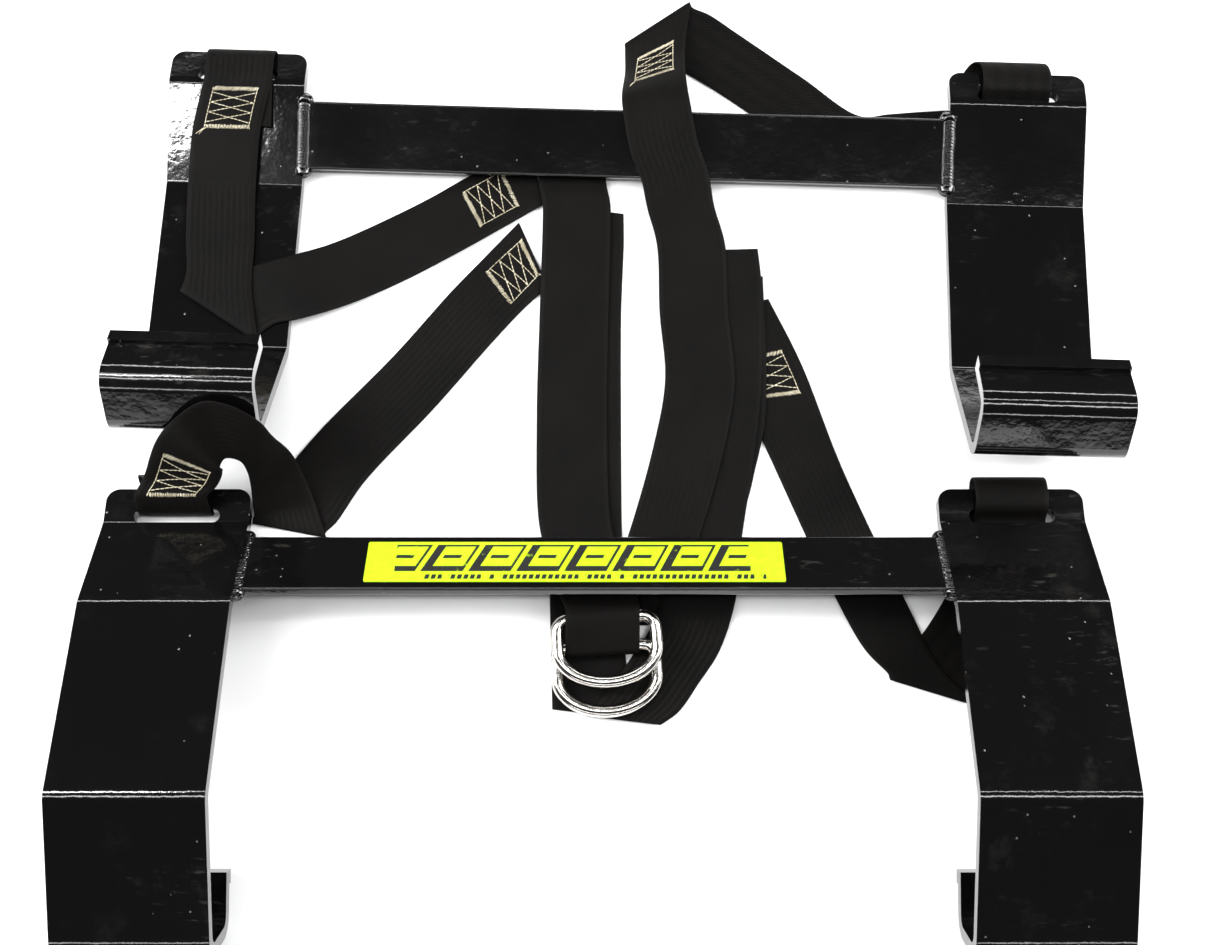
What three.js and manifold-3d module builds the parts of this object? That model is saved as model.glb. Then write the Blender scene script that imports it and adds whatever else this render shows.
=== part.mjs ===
// A pair of welded steel hook frames joined by a webbing harness, laid out flat on the ground.
// Millimetres, +Z up, +Y away from the near frame, +X to the right.
import * as THREE from 'three';
import { mergeVertices } from 'three/addons/utils/BufferGeometryUtils.js';
import { ConvexGeometry } from 'three/addons/geometries/ConvexGeometry.js';
import Module from 'manifold-3d';

const wasm = await Module();
wasm.setup();

// Driving dimensions
const PLATE_WIDTH = 101.6;
const PLATE_THICK = 7.94;
const PLATE_EDGE = 1.2;
const BEND_RADIUS = 11;
const FRAME_WIDTH = 685.8;
const TAB_CORNER = 9.5;
const SLOT_LENGTH = 60;
const SLOT_WIDTH = 10;
const SLOT_FROM_END = 20;
const STRAP_BAR_FROM_END = 7.5;
const BAR_DEPTH = 50.8;
const BAR_THICK = 6.35;
const BAR_PROUD = 0.8;
const GAP = 0.3;
const WEB_WIDTH = 50.8;
const WEB_THICK = 1.4;
const LABEL_SIZE = [285, 38, 0.5];
const WIRE_RADIUS = 4.2;
const RING_HALF_WIDTH = 34.1;
const RING_DEPTH = 44.2;
const RING_ARMS = 21;
const RING_YAW = THREE.MathUtils.degToRad(4);

// Bracket side profile: segment lengths and directions, walked from the slotted tab to the lip
const SEGMENTS = [25.4, 76.2, 132, 103, 42.9, 37.5];
const DIRECTIONS = [8, -18, 0, 37, 125, 207];
const SLOPE = THREE.MathUtils.degToRad(18);
const RAIL_WIDTH = 9;
const RAIL_HEIGHT = 4;

const group = new THREE.Group();
const steelColour = { color: 0x0b0b0c, roughness: 0.25, metalness: 0.1 };
const webColour = { color: 0x1f1d1c, roughness: 0.8, metalness: 0 };
const nickel = { color: 0xc9c9c6, roughness: 0.2, metalness: 1 };
const thread = { color: 0xc8be9f, roughness: 0.8, metalness: 0 };
const chartreuse = { color: 0xd7fa0a, roughness: 0.5, metalness: 0 };

function addPart(name, geometry, look) {
  const mesh = new THREE.Mesh(geometry, new THREE.MeshStandardMaterial(look));
  mesh.name = name;
  group.add(mesh);
}

// Solid bookkeeping for boolean work
function solid(geometry) {
  const bare = new THREE.BufferGeometry();
  bare.setAttribute('position', geometry.attributes.position.clone());
  if (geometry.index) bare.setIndex(geometry.index.clone());
  const merged = mergeVertices(bare, 1e-4);
  return new wasm.Manifold(new wasm.Mesh({
    numProp: 3,
    vertProperties: new Float32Array(merged.attributes.position.array),
    triVerts: new Uint32Array(merged.index.array),
  }));
}

function fromSolid(body) {
  const mesh = body.getMesh();
  const geometry = new THREE.BufferGeometry();
  geometry.setAttribute('position', new THREE.BufferAttribute(new Float32Array(mesh.vertProperties), 3));
  geometry.setIndex(new THREE.BufferAttribute(new Uint32Array(mesh.triVerts), 1));
  geometry.computeVertexNormals();
  return geometry;
}

function roundedRect(halfA, halfB, radius, steps = 5) {
  const shape = new THREE.Shape();
  const centres = [[1, 1], [-1, 1], [-1, -1], [1, -1]];
  centres.forEach(([sa, sb], quarter) => {
    for (let k = 0; k <= steps; k += 1) {
      const angle = (quarter + k / steps) * Math.PI / 2;
      const a = sa * (halfA - radius) + radius * Math.cos(angle);
      const b = sb * (halfB - radius) + radius * Math.sin(angle);
      if (quarter + k === 0) shape.moveTo(a, b);
      else shape.lineTo(a, b);
    }
  });
  return shape;
}

function prism(shape, depth, options = {}) {
  const geometry = new THREE.ExtrudeGeometry(shape, { depth, bevelEnabled: false, ...options });
  return geometry.translate(0, 0, -depth / 2);
}

// Frame placement: local X across the frame, local Y toward the tab end, local Z toward the hooks
const upperPlace = new THREE.Matrix4()
  .makeRotationZ(THREE.MathUtils.degToRad(-1.8))
  .setPosition(12.55, 215.2, PLATE_THICK / 2);
const pitch = THREE.MathUtils.degToRad(13.5);
const lowerPlace = new THREE.Matrix4().makeBasis(
  new THREE.Vector3(-1, 0, 0),
  new THREE.Vector3(0, Math.cos(pitch), -Math.sin(pitch)),
  new THREE.Vector3(0, -Math.sin(pitch), -Math.cos(pitch)),
).setPosition(-8.84, -106.9, 52.3);

// Centreline nodes (u along the plate, n toward the hooks), the second bend at the origin
const nodes = [new THREE.Vector2(0, 0)];
SEGMENTS.forEach((length, i) => {
  const angle = THREE.MathUtils.degToRad(DIRECTIONS[i]);
  const last = nodes[nodes.length - 1];
  nodes.push(new THREE.Vector2(last.x + length * Math.cos(angle), last.y + length * Math.sin(angle)));
});
const origin = nodes[2].clone();
nodes.forEach((node) => node.sub(origin));
const tabEnd = nodes[0];
const tabAngle = THREE.MathUtils.degToRad(DIRECTIONS[0]);

function bracketOutline() {
  const path = [{ point: nodes[0], angle: tabAngle }];
  for (let i = 1; i < nodes.length - 1; i += 1) {
    const from = THREE.MathUtils.degToRad(DIRECTIONS[i - 1]);
    const to = THREE.MathUtils.degToRad(DIRECTIONS[i]);
    const turn = to - from;
    const reach = BEND_RADIUS * Math.tan(Math.abs(turn) / 2);
    const side = Math.sign(turn);
    const start = nodes[i].clone().add(new THREE.Vector2(-Math.cos(from), -Math.sin(from)).multiplyScalar(reach));
    const hub = start.clone().add(
      new THREE.Vector2(-Math.sin(from), Math.cos(from)).multiplyScalar(side * BEND_RADIUS),
    );
    const steps = Math.max(3, Math.round(Math.abs(turn) / 0.19));
    for (let k = 0; k <= steps; k += 1) {
      const angle = from + turn * k / steps;
      const out = new THREE.Vector2(Math.sin(angle), -Math.cos(angle)).multiplyScalar(side * BEND_RADIUS);
      path.push({ point: hub.clone().add(out), angle });
    }
  }
  const lipAngle = THREE.MathUtils.degToRad(DIRECTIONS[5]);
  path.push({ point: nodes[6], angle: lipAngle });
  const half = PLATE_THICK / 2 - PLATE_EDGE;
  const offset = ({ point, angle }, along, side) => new THREE.Vector2(
    point.x + along * Math.cos(angle) - side * Math.sin(angle),
    point.y + along * Math.sin(angle) + side * Math.cos(angle),
  );
  const last = path[path.length - 1];
  const outline = path.slice(0, -1).map((stop, i) => offset(stop, i === 0 ? PLATE_EDGE : 0, -half));
  outline.push(offset(last, -RAIL_WIDTH + PLATE_EDGE, -half));
  outline.push(offset(last, -RAIL_WIDTH + PLATE_EDGE, -half - RAIL_HEIGHT));
  outline.push(offset(last, -PLATE_EDGE, -half - RAIL_HEIGHT));
  outline.push(offset(last, -PLATE_EDGE, half));
  for (let i = path.length - 2; i >= 0; i -= 1) outline.push(offset(path[i], i === 0 ? PLATE_EDGE : 0, half));
  return new THREE.Shape(outline);
}

// One bent plate: bevelled long edges, rounded tab corners, a strap slot near the tab end
function bracketSolid(x, place) {
  const side = new THREE.Matrix4().makeBasis(
    new THREE.Vector3(0, -1, 0),
    new THREE.Vector3(0, 0, 1),
    new THREE.Vector3(-1, 0, 0),
  );
  const body = prism(bracketOutline(), PLATE_WIDTH - 2 * PLATE_EDGE, {
    bevelEnabled: true,
    bevelSize: PLATE_EDGE,
    bevelThickness: PLATE_EDGE,
    bevelSegments: 2,
  }).applyMatrix4(side);
  const length = 330;
  const plan = prism(roundedRect(PLATE_WIDTH / 2 + 0.01, length / 2, TAB_CORNER), 400)
    .translate(0, -tabEnd.x - length / 2, 0);
  const slot = prism(roundedRect(SLOT_LENGTH / 2, SLOT_WIDTH / 2, SLOT_WIDTH / 2 - 0.01), 40)
    .applyMatrix4(new THREE.Matrix4().makeRotationX(-tabAngle))
    .translate(
      0,
      -tabEnd.x - SLOT_FROM_END * Math.cos(tabAngle),
      tabEnd.y + SLOT_FROM_END * Math.sin(tabAngle),
    );
  const cut = solid(body).intersect(solid(plan)).subtract(solid(slot));
  return fromSolid(cut).applyMatrix4(new THREE.Matrix4().makeTranslation(x, 0, 0)).applyMatrix4(place);
}

// Crossbar and its welds share one slanted seat, centred on the sloping second section
const seatMiddle = nodes[1].clone().add(nodes[2]).multiplyScalar(0.5);
const seat = new THREE.Matrix4().makeRotationX(SLOPE).setPosition(0, -seatMiddle.x, seatMiddle.y);
const barLevel = PLATE_THICK / 2 + BAR_PROUD - BAR_THICK / 2;
const bracketInner = FRAME_WIDTH / 2 - PLATE_WIDTH;

function crossbar(place) {
  const bar = prism(roundedRect(BAR_DEPTH / 2, BAR_THICK / 2, 1.4, 3), 2 * (bracketInner - GAP));
  const turn = new THREE.Matrix4().makeBasis(
    new THREE.Vector3(0, 1, 0),
    new THREE.Vector3(0, 0, 1),
    new THREE.Vector3(1, 0, 0),
  );
  return bar.applyMatrix4(turn).translate(0, 0, barLevel).applyMatrix4(seat).applyMatrix4(place);
}

function hull(points) {
  return new ConvexGeometry(points.map(([x, y, z]) => new THREE.Vector3(x, y, z)));
}

// A fillet ring around one end of the crossbar, clear of both plates by the gap
function weld(side, place) {
  const edge = BAR_DEPTH / 2;
  const top = barLevel + BAR_THICK / 2;
  const under = barLevel - BAR_THICK / 2;
  const stretch = (points, reach) => points.flatMap(([x, z]) => [[x, -reach, z], [x, reach, z]]);
  let bead = solid(hull(stretch([[-4, 4.2], [-3.4, 5], [-1.5, 6], [1, 6.6], [3.6, 6.2], [5, 5], [5, 3], [0, 3]], 28.5)));
  bead = bead.add(solid(hull(stretch([[0, -3.5], [1.8, -3.6], [4.4, -2.8], [5.4, under], [5.4, 0], [0, 0]], 28.2))));
  for (const end of [-1, 1]) {
    const corner = [[0, edge - 2], [0, edge + 7.2], [1.6, edge + 6.6], [3.6, edge + 3], [7.6, edge + 0.9], [7.6, edge - 2]];
    const points = corner.flatMap(([x, y]) => [[x, end * y, -3.2], [x, end * y, 3.4]]);
    bead = bead.add(solid(hull(points)));
  }
  const bar = new THREE.BoxGeometry(60, BAR_DEPTH + 2 * GAP, BAR_THICK + 2 * GAP)
    .translate(30 - GAP, 0, (top + under) / 2);
  const plate = new THREE.BoxGeometry(PLATE_WIDTH, 120, PLATE_THICK + 2 * GAP)
    .translate(-PLATE_WIDTH / 2 + GAP, 0, 0);
  bead = bead.subtract(solid(bar)).subtract(solid(plate));
  const geometry = fromSolid(side < 0 ? bead : bead.mirror([1, 0, 0]));
  return geometry.translate(side * bracketInner, 0, 0).applyMatrix4(seat).applyMatrix4(place);
}

// Points on a bracket's tab: s back from the tab end, h above the plate's middle on the upward face
function tabPoint(place, up, x, s, h) {
  const u = tabEnd.x + s * Math.cos(tabAngle) - up * h * Math.sin(tabAngle);
  const n = tabEnd.y + s * Math.sin(tabAngle) + up * h * Math.cos(tabAngle);
  return new THREE.Vector3(x, -u, n).applyMatrix4(place);
}

// A loop of webbing through the slot: [s, h, drift] stops seen from the side
function eye(place, up, x, stops) {
  const half = WEB_WIDTH / 2;
  return stops.map(([s, h, drift = 0]) => [
    tabPoint(place, up, x + drift - up * half, s, h),
    tabPoint(place, up, x + drift + up * half, s, h),
  ]);
}

const pairs = (rows) => rows.map(([left, right]) => [new THREE.Vector3(...left), new THREE.Vector3(...right)]);

// Smooth the left and right edges of a run, then list evenly paired stations
function stations(run) {
  const left = new THREE.CatmullRomCurve3(run.map((pair) => pair[0]), false, 'centripetal');
  const right = new THREE.CatmullRomCurve3(run.map((pair) => pair[1]), false, 'centripetal');
  const list = [];
  for (let i = 0; i < run.length - 1; i += 1) {
    const longest = Math.max(run[i][0].distanceTo(run[i + 1][0]), run[i][1].distanceTo(run[i + 1][1]));
    const steps = Math.min(4, Math.max(1, Math.round(longest / 9)));
    for (let k = 0; k < steps; k += 1) {
      const t = (i + k / steps) / (run.length - 1);
      list.push([left.getPoint(t), right.getPoint(t)]);
    }
  }
  list.push(run[run.length - 1].map((point) => point.clone()));
  return list.map(([l, r], i, all) => {
    const before = all[Math.max(i - 1, 0)];
    const after = all[Math.min(i + 1, all.length - 1)];
    const ahead = after[0].clone().add(after[1]).sub(before[0]).sub(before[1]).normalize();
    const across = r.clone().sub(l).normalize();
    return { l, r, middle: l.clone().add(r).multiplyScalar(0.5), across, normal: ahead.cross(across).normalize() };
  });
}

// A closed band of webbing through paired edge points
function webbing(list) {
  const position = [];
  const index = [];
  list.forEach(({ l, r, normal }) => {
    const lift = normal.clone().multiplyScalar(WEB_THICK / 2);
    for (const point of [l.clone().add(lift), r.clone().add(lift), r.clone().sub(lift), l.clone().sub(lift)]) {
      position.push(point.x, point.y, point.z);
    }
  });
  for (let i = 0; i < list.length - 1; i += 1) {
    for (let k = 0; k < 4; k += 1) {
      const a = 4 * i + k;
      const b = 4 * i + (k + 1) % 4;
      index.push(a, b + 4, b, a, a + 4, b + 4);
    }
  }
  const end = 4 * (list.length - 1);
  index.push(0, 1, 2, 0, 2, 3, end, end + 2, end + 1, end, end + 3, end + 2);
  const geometry = new THREE.BufferGeometry();
  geometry.setAttribute('position', new THREE.BufferAttribute(new Float32Array(position), 3));
  geometry.setIndex(index);
  geometry.computeVertexNormals();
  return geometry;
}

// Move part of a run off its own face, for the sewn-back tail of an eye
function beside(run, picks, distance) {
  const list = stations(run);
  return picks.map((where) => {
    const at = list[Math.min(list.length - 1, where)];
    const shift = at.normal.clone().multiplyScalar(distance);
    return [at.l.clone().add(shift), at.r.clone().add(shift)];
  });
}

// Sewn box of thread: two dense end bands, two side rows and three crosses, wrapped onto a band
function stitching(list, near, along, across) {
  const [halfA, halfB] = [along / 2, across / 2];
  const bars = [];
  const bar = (a0, b0, a1, b1, width) => {
    const length = Math.hypot(a1 - a0, b1 - b0);
    bars.push(new THREE.BoxGeometry(length + width, width, 0.5)
      .applyMatrix4(new THREE.Matrix4().makeRotationZ(Math.atan2(b1 - b0, a1 - a0)))
      .translate((a0 + a1) / 2, (b0 + b1) / 2, 0));
  };
  for (const side of [-1, 1]) {
    bar(side * (halfA - 1.5), -halfB, side * (halfA - 1.5), halfB, 3);
    bar(-halfA, side * halfB, halfA, side * halfB, 0.9);
    for (let cross = 0; cross < 3; cross += 1) {
      const from = -halfB + cross * across / 3;
      bar(-halfA + 2, side < 0 ? from : from + across / 3, halfA - 2, side < 0 ? from + across / 3 : from, 0.9);
    }
  }
  const patch = wasm.Manifold.union(bars.map((one) => solid(one))).refineToLength(9);
  const reach = [0];
  for (let i = 1; i < list.length; i += 1) {
    reach.push(reach[i - 1] + list[i].middle.distanceTo(list[i - 1].middle));
  }
  let start = 0;
  let best = Infinity;
  for (let i = 0; i < list.length - 1; i += 1) {
    for (let k = 0; k <= 10; k += 1) {
      const spot = list[i].middle.clone().lerp(list[i + 1].middle, k / 10);
      const miss = spot.distanceTo(near);
      if (miss < best) {
        best = miss;
        start = reach[i] + (reach[i + 1] - reach[i]) * k / 10;
      }
    }
  }
  const geometry = fromSolid(patch);
  const spots = geometry.attributes.position;
  const nearest = list.reduce((a, b) => (a.middle.distanceTo(near) < b.middle.distanceTo(near) ? a : b));
  const face = Math.sign(nearest.normal.z);
  for (let v = 0; v < spots.count; v += 1) {
    const run = Math.min(Math.max(start + spots.getX(v), 0), reach[reach.length - 1] - 1e-6);
    const i = reach.findIndex((value, k) => value <= run && run < reach[k + 1]);
    const part = (run - reach[i]) / (reach[i + 1] - reach[i]);
    const middle = list[i].middle.clone().lerp(list[i + 1].middle, part);
    const normal = list[i].normal.clone().lerp(list[i + 1].normal, part).normalize();
    const side = list[i].across.clone().lerp(list[i + 1].across, part).normalize();
    const point = middle
      .addScaledVector(side, face * spots.getY(v))
      .addScaledVector(normal, face * (WEB_THICK / 2 + GAP + 0.3 + spots.getZ(v)));
    spots.setXYZ(v, point.x, point.y, point.z);
  }
  geometry.computeVertexNormals();
  return geometry;
}

// Steel
const sides = [['left', -1], ['right', 1]];
for (const [side, sign] of sides) {
  const x = sign * (FRAME_WIDTH - PLATE_WIDTH) / 2;
  addPart(`upper_${side}_bracket`, bracketSolid(x, upperPlace), steelColour);
  addPart(`lower_${side}_bracket`, bracketSolid(-x, lowerPlace), steelColour);
  addPart(`upper_${side}_weld`, weld(sign, upperPlace), steelColour);
  addPart(`lower_${side}_weld`, weld(-sign, lowerPlace), steelColour);
}
addPart('upper_crossbar', crossbar(upperPlace), steelColour);
addPart('lower_crossbar', crossbar(lowerPlace), steelColour);
addPart('lower_label', prism(roundedRect(LABEL_SIZE[0] / 2, LABEL_SIZE[1] / 2, 1, 2), LABEL_SIZE[2])
  .translate(13, 0, barLevel - BAR_THICK / 2 - GAP - LABEL_SIZE[2] / 2)
  .applyMatrix4(seat)
  .applyMatrix4(lowerPlace), chartreuse);

// Webbing runs: [left edge, right edge] stops along each strap
const UPPER_LEFT_RUN = [
  [[-309.5, 259.8, 24.2], [-258.8, 258.2, 24.2]], [[-311.9, 235, 16.4], [-261.2, 232.6, 16.4]],
  [[-312.9, 221.3, 12.2], [-262.2, 218.8, 12.2]], [[-311.4, 176.9, 11.2], [-260.6, 176.9, 11.2]],
  [[-309.1, 151.2, 11.2], [-260.2, 137.5, 11.2]], [[-311.6, 138.6, 11.2], [-254.2, 100.2, 11.2]],
  [[-313.1, 136, 10.25], [-254.9, 97, 10.25]], [[-311.1, 137.4, 9.3], [-253.1, 101.3, 9.3]],
  [[-273.6, 151.6, 9.3], [-242.5, 110, 9.3]], [[-233.8, 164, 9.8], [-224.3, 113.9, 9.8]],
  [[-205.3, 176, 4.5], [-189.5, 127.7, 4.5]], [[-177.5, 190.8, 1.1], [-153, 146.3, 1.1]],
  [[-134.2, 214.3, 1.1], [-113.4, 167.9, 2.8]], [[-105.4, 232.2, 1.4], [-81.7, 187.2, 2.9]],
  [[-62, 257, 1.1], [-45, 211, 1.6]],
];
const LOWER_LEFT_RUN = [
  [[-320.9, -14.1, 35.1], [-270.4, -19.4, 31.9]], [[-306.2, 4.4, 62.2], [-265.1, -12.6, 39.8]],
  [[-286, 13.6, 87], [-265, -10, 48]], [[-267, 20.8, 96.2], [-260.5, -5.5, 52.6]],
  [[-248.4, 17.8, 95], [-251.5, -6.5, 50.4]], [[-232.5, 11, 84.5], [-248.5, -10.3, 40]],
  [[-226.8, 7, 64], [-248, -19, 25.5]], [[-218.8, 3, 30], [-249, -27.6, 12.5]],
  [[-207.2, -22.3, 7], [-249.3, -33.5, 5.2]], [[-199, -45.4, 2.9], [-250.7, -35.2, 2.9]],
  [[-198.3, -48, 1.95], [-250.7, -37.8, 1.95]], [[-199.3, -45.6, 1], [-249.9, -35.4, 1]],
  [[-191.5, -37, 1], [-231.8, -2.7, 1]], [[-173.2, -7.6, 1], [-208.1, 29.6, 1]],
  [[-123.7, 49.5, 1], [-154.2, 90.4, 1]], [[-85.4, 97.2, 1], [-116.2, 137.8, 1]],
  [[-62, 124.5, 1], [-91.4, 166.2, 1]], [[-43.5, 143, 1], [-66, 195, 1]],
];
const UPPER_RIGHT_RUN = [
  [[267.2, 282, 11.2], [317.6, 293, 12]], [[267.2, 256, 7.4], [317.8, 289.5, 10.6]],
  [[267.2, 236.5, 5], [318, 287.3, 9.6]], [[265.6, 234.8, 4.05], [316.4, 285.6, 8.65]],
  [[265.2, 236.5, 3.1], [316, 287.3, 7.7]], [[246, 236.5, 1.8], [262, 287.5, 3.4]],
  [[228, 236, 1.1], [236, 287, 1.2]], [[205, 236, 1], [216, 285.5, 1]],
  [[167, 238, 1], [193, 284, 1]], [[112.4, 282.8, 1], [150.3, 316.9, 1]],
  [[72.5, 312.8, 1], [100.2, 356.2, 1]], [[41.3, 332.5, 1], [79.3, 372.3, 1]],
  [[16.3, 342.7, 1], [66.4, 378.9, 1]], [[13.9, 345.6, 1.95], [64.9, 382.7, 1.95]],
  [[13.9, 340.7, 2.9], [64.7, 376.8, 2.9]], [[13.8, 315.6, 12], [60.1, 339.3, 10]],
  [[11.1, 282.9, 29.4], [59.9, 297.1, 28.4]], [[12.9, 266.5, 27.6], [62.6, 276.5, 30.3]],
  [[18, 242, 19.6], [67.8, 251.5, 22.4]], [[25.3, 224.6, 14.2], [76, 227.8, 15.2]],
  [[30, 203, 8.8], [80, 205, 8.8]], [[37, 174, 7.4], [87.5, 175, 7.4]],
  [[38.5, 120, 7.3], [89, 120, 7.3]], [[42, 68, 7.3], [92.5, 66, 7.3]],
  [[33.5, 19, 6.8], [84, 17, 6.8]], [[14.5, -48.7, 4.9], [65, -48.7, 4.9]],
  [[2, -82, 4.7], [51.5, -85, 4.7]],
];
const LOWER_RIGHT_RUN = [
  [[253, -50, 1], [303.6, -55, 1]], [[245, -75, 1], [294, -88, 1]], [[222, -113, 1], [268, -132, 1]],
  [[194.4, -145.1, 1], [248.4, -161.7, 1]], [[194.7, -148.7, 1.95], [248, -165.2, 1.95]],
  [[194, -146.1, 2.9], [248, -162.6, 2.9]], [[178.4, -128.5, 2.4], [228.8, -139.2, 2.4]],
  [[158.7, -89.6, 1.2], [209, -95, 1.2]], [[118, 7.9, 1], [168.5, 2.1, 1]],
  [[92, 72, 1], [141.5, 83, 1]], [[69.7, 121.9, 1], [119.3, 133.1, 1]],
];
const LEFT_BACK_RUN = [
  [[-39.1, 207.7, 1], [12.5, 201.9, 1]], [[-38.5, 179, 1], [12.6, 179, 1]],
  [[-40.5, 121.3, 1], [10.5, 121.3, 1]], [[-40.8, 40, 1], [10.2, 40, 1]],
  [[-40.3, -47.8, 1], [10.6, -47.8, 1]], [[-40, -88.1, 1], [11.5, -88.1, 1]],
  [[-37.5, -169.5, 1], [14.5, -175.5, 1]],
];
const RIGHT_FRONT_RUN = [
  [[60.5, 169.5, 5.4], [112, 171.5, 5.4]], [[63, 142.1, 5.4], [114, 142.1, 5.4]],
  [[62, 71.5, 5.4], [112.6, 71.5, 5.4]], [[57.8, 38.4, 5.1], [108.6, 34.9, 5.1]],
  [[50.5, -10, 3.6], [101, -14, 3.6]], [[44, -49, 2.9], [94.5, -53, 2.9]],
  [[39.5, -86, 2.8], [89.6, -94, 2.8]], [[30, -113, 2.8], [78, -129, 2.8]],
  [[18, -132, 2.8], [63, -152, 2.8]], [[2, -155, 2.8], [49, -171.5, 2.8]],
  [[-14, -174.2, 2.8], [36.8, -180.4, 2.8]],
];
const RIGHT_BACK_RUN = [
  [[64.5, 150, 3.5], [115.3, 150, 3.5]], [[65, 71, 3.5], [115.8, 71, 3.5]],
  [[62.5, 38, 3.2], [113.3, 34, 3.2]], [[54.5, 2, 1.8], [105, -2, 1.8]],
  [[51, -12, 1.2], [101.5, -16, 1.2]], [[37, -52, 1], [87.5, -57, 1]],
  [[23, -84, 1], [73.4, -90, 1]], [[18.4, -111, 1], [69.2, -111, 1]],
];

// Ring strap: main run from under the far bar, then a flat loop round both ring bars
const RING_CENTRE = -1.2;
const LOOP_CENTRE = -3.0;
const TOP_PIVOT = [-109, 18.5];
const BOTTOM_PIVOT = [-127.6, 9.7];
const LOOP = WIRE_RADIUS + 0.7 + WEB_THICK / 2;
const RING_STRAP_RUN = [
  [[-51.4, 240, 3.6], [-0.6, 240, 3.6]], [[-51.4, 227, 3.9], [-0.6, 227, 3.9]],
  [[-48.3, 209, 4.4], [2.5, 209, 4.4]], [[-48, 195, 4.4], [2.8, 195, 4.4]],
  [[-49.5, 120.7, 2.8], [1.3, 120.7, 2.8]], [[-50.6, 39.4, 2.8], [0.2, 39.4, 2.8]],
  [[-47.8, -40, 4.8], [3, -40, 4.8]], [[-40, -68, 8], [10.8, -68, 8]], [[-33, -92, 17.6], [17.8, -92, 17.6]],
];
const loopStops = [[-103, 22.9], [TOP_PIVOT[0], TOP_PIVOT[1] + LOOP]];
for (const degrees of [112, 134, 156, 178, 200, 222, 246, 270]) {
  const angle = THREE.MathUtils.degToRad(degrees);
  loopStops.push([BOTTOM_PIVOT[0] + LOOP * Math.cos(angle), BOTTOM_PIVOT[1] + LOOP * Math.sin(angle)]);
}
loopStops.push([-120, 5.4], [-109, 9.5], [-98, 11.2], [-84, 9.8], [-76, 8.6]);
const reachX = WEB_WIDTH / 2 * Math.cos(RING_YAW);
const reachY = WEB_WIDTH / 2 * Math.sin(RING_YAW);
for (const [y, z] of loopStops) {
  const x = LOOP_CENTRE - 0.2 * Math.max(y + 100, 0);
  RING_STRAP_RUN.push([[x - reachX, y - reachY, z], [x + reachX, y + reachY, z]]);
}

const upperLeftEye = eye(upperPlace, 1, -290.2, [
  [58, -8.2], [40, 0.2], [30, 4.6], [23, 5.2], [18.8, 2.4], [17.3, -1], [16.2, -4.8], [12.8, -8.4], [7.5, -9.8],
  [2.2, -8.2], [-1.3, -4.4], [-2.4, 0], [-1, 5], [2.4, 9], [7.5, 10.6], [16, 9.8], [25.5, 8.4],
]);
const upperRightEye = eye(upperPlace, 1, 291.2, [
  [50, -18.4, -2], [38, -12.6, -1], [27, -6.8], [20.6, -2], [18, 2.4], [15.6, 6.4], [11, 9], [2, 9.8],
  [-7, 7.2, -2], [-11.3, 0.4, -6], [-7.4, -7.2, -11], [2, -11.6, -14],
]);
const lowerRightEye = eye(lowerPlace, -1, -292, [
  [66, -12.6], [44, -9.9], [30, -8], [20.4, -3], [17.8, 1], [16.5, 4.8], [13.6, 8], [8.6, 9.9], [2, 10.2],
  [-4.6, 8.6], [-9, 2.6], [-8.6, -4.6], [-1.4, -9.2], [7.5, -9.7],
]);
const lowerLeftEye = eye(lowerPlace, -1, 294, [
  [-6, 14], [-2.6, 7], [-2.2, 0], [-0.8, -4.9], [2.6, -8.4], [7.5, -9.7], [12.6, -8.2], [16.3, -4.6],
  [17.5, 0], [16.8, 5], [14.8, 10], [10.5, 17],
]);
const risingRun = pairs(LOWER_LEFT_RUN);
const tail = beside(risingRun, [5, 2, 0], 1.8);
const runs = {
  upper_left_sling: [...upperLeftEye, ...pairs(UPPER_LEFT_RUN)],
  lower_left_sling: [...tail, ...lowerLeftEye, ...risingRun],
  upper_right_sling: [...upperRightEye, ...pairs(UPPER_RIGHT_RUN)],
  lower_right_sling: [...lowerRightEye, ...pairs(LOWER_RIGHT_RUN)],
  ring_strap: pairs(RING_STRAP_RUN),
  left_back_strap: pairs(LEFT_BACK_RUN),
  right_front_strap: pairs(RIGHT_FRONT_RUN),
  right_back_strap: pairs(RIGHT_BACK_RUN),
};
const bands = {};
for (const [name, run] of Object.entries(runs)) {
  bands[name] = stations(run);
  addPart(name, webbing(bands[name]), webColour);
}

// Sewn boxes: band, place on it, length along, width across
const SEWN = [
  ['upper_left_eye_stitching', 'upper_left_sling', [-285, 277, 29], 31, 33],
  ['upper_left_end_stitching', 'upper_left_sling', [-86.4, 211.6, 2.5], 34, 31],
  ['lower_left_eye_stitching', 'lower_left_sling', [-294, -18, 39.5], 31, 33],
  ['lower_left_end_stitching', 'lower_left_sling', [-70.7, 156.6, 1], 34, 31],
  ['upper_right_end_stitching', 'upper_right_sling', [33, 320, 12], 34, 31],
  ['lower_right_end_stitching', 'lower_right_sling', [116, 72, 1], 34, 31],
];
for (const [name, band, spot, along, across] of SEWN) {
  addPart(name, stitching(bands[band], new THREE.Vector3(...spot), along, across), thread);
}

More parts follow.
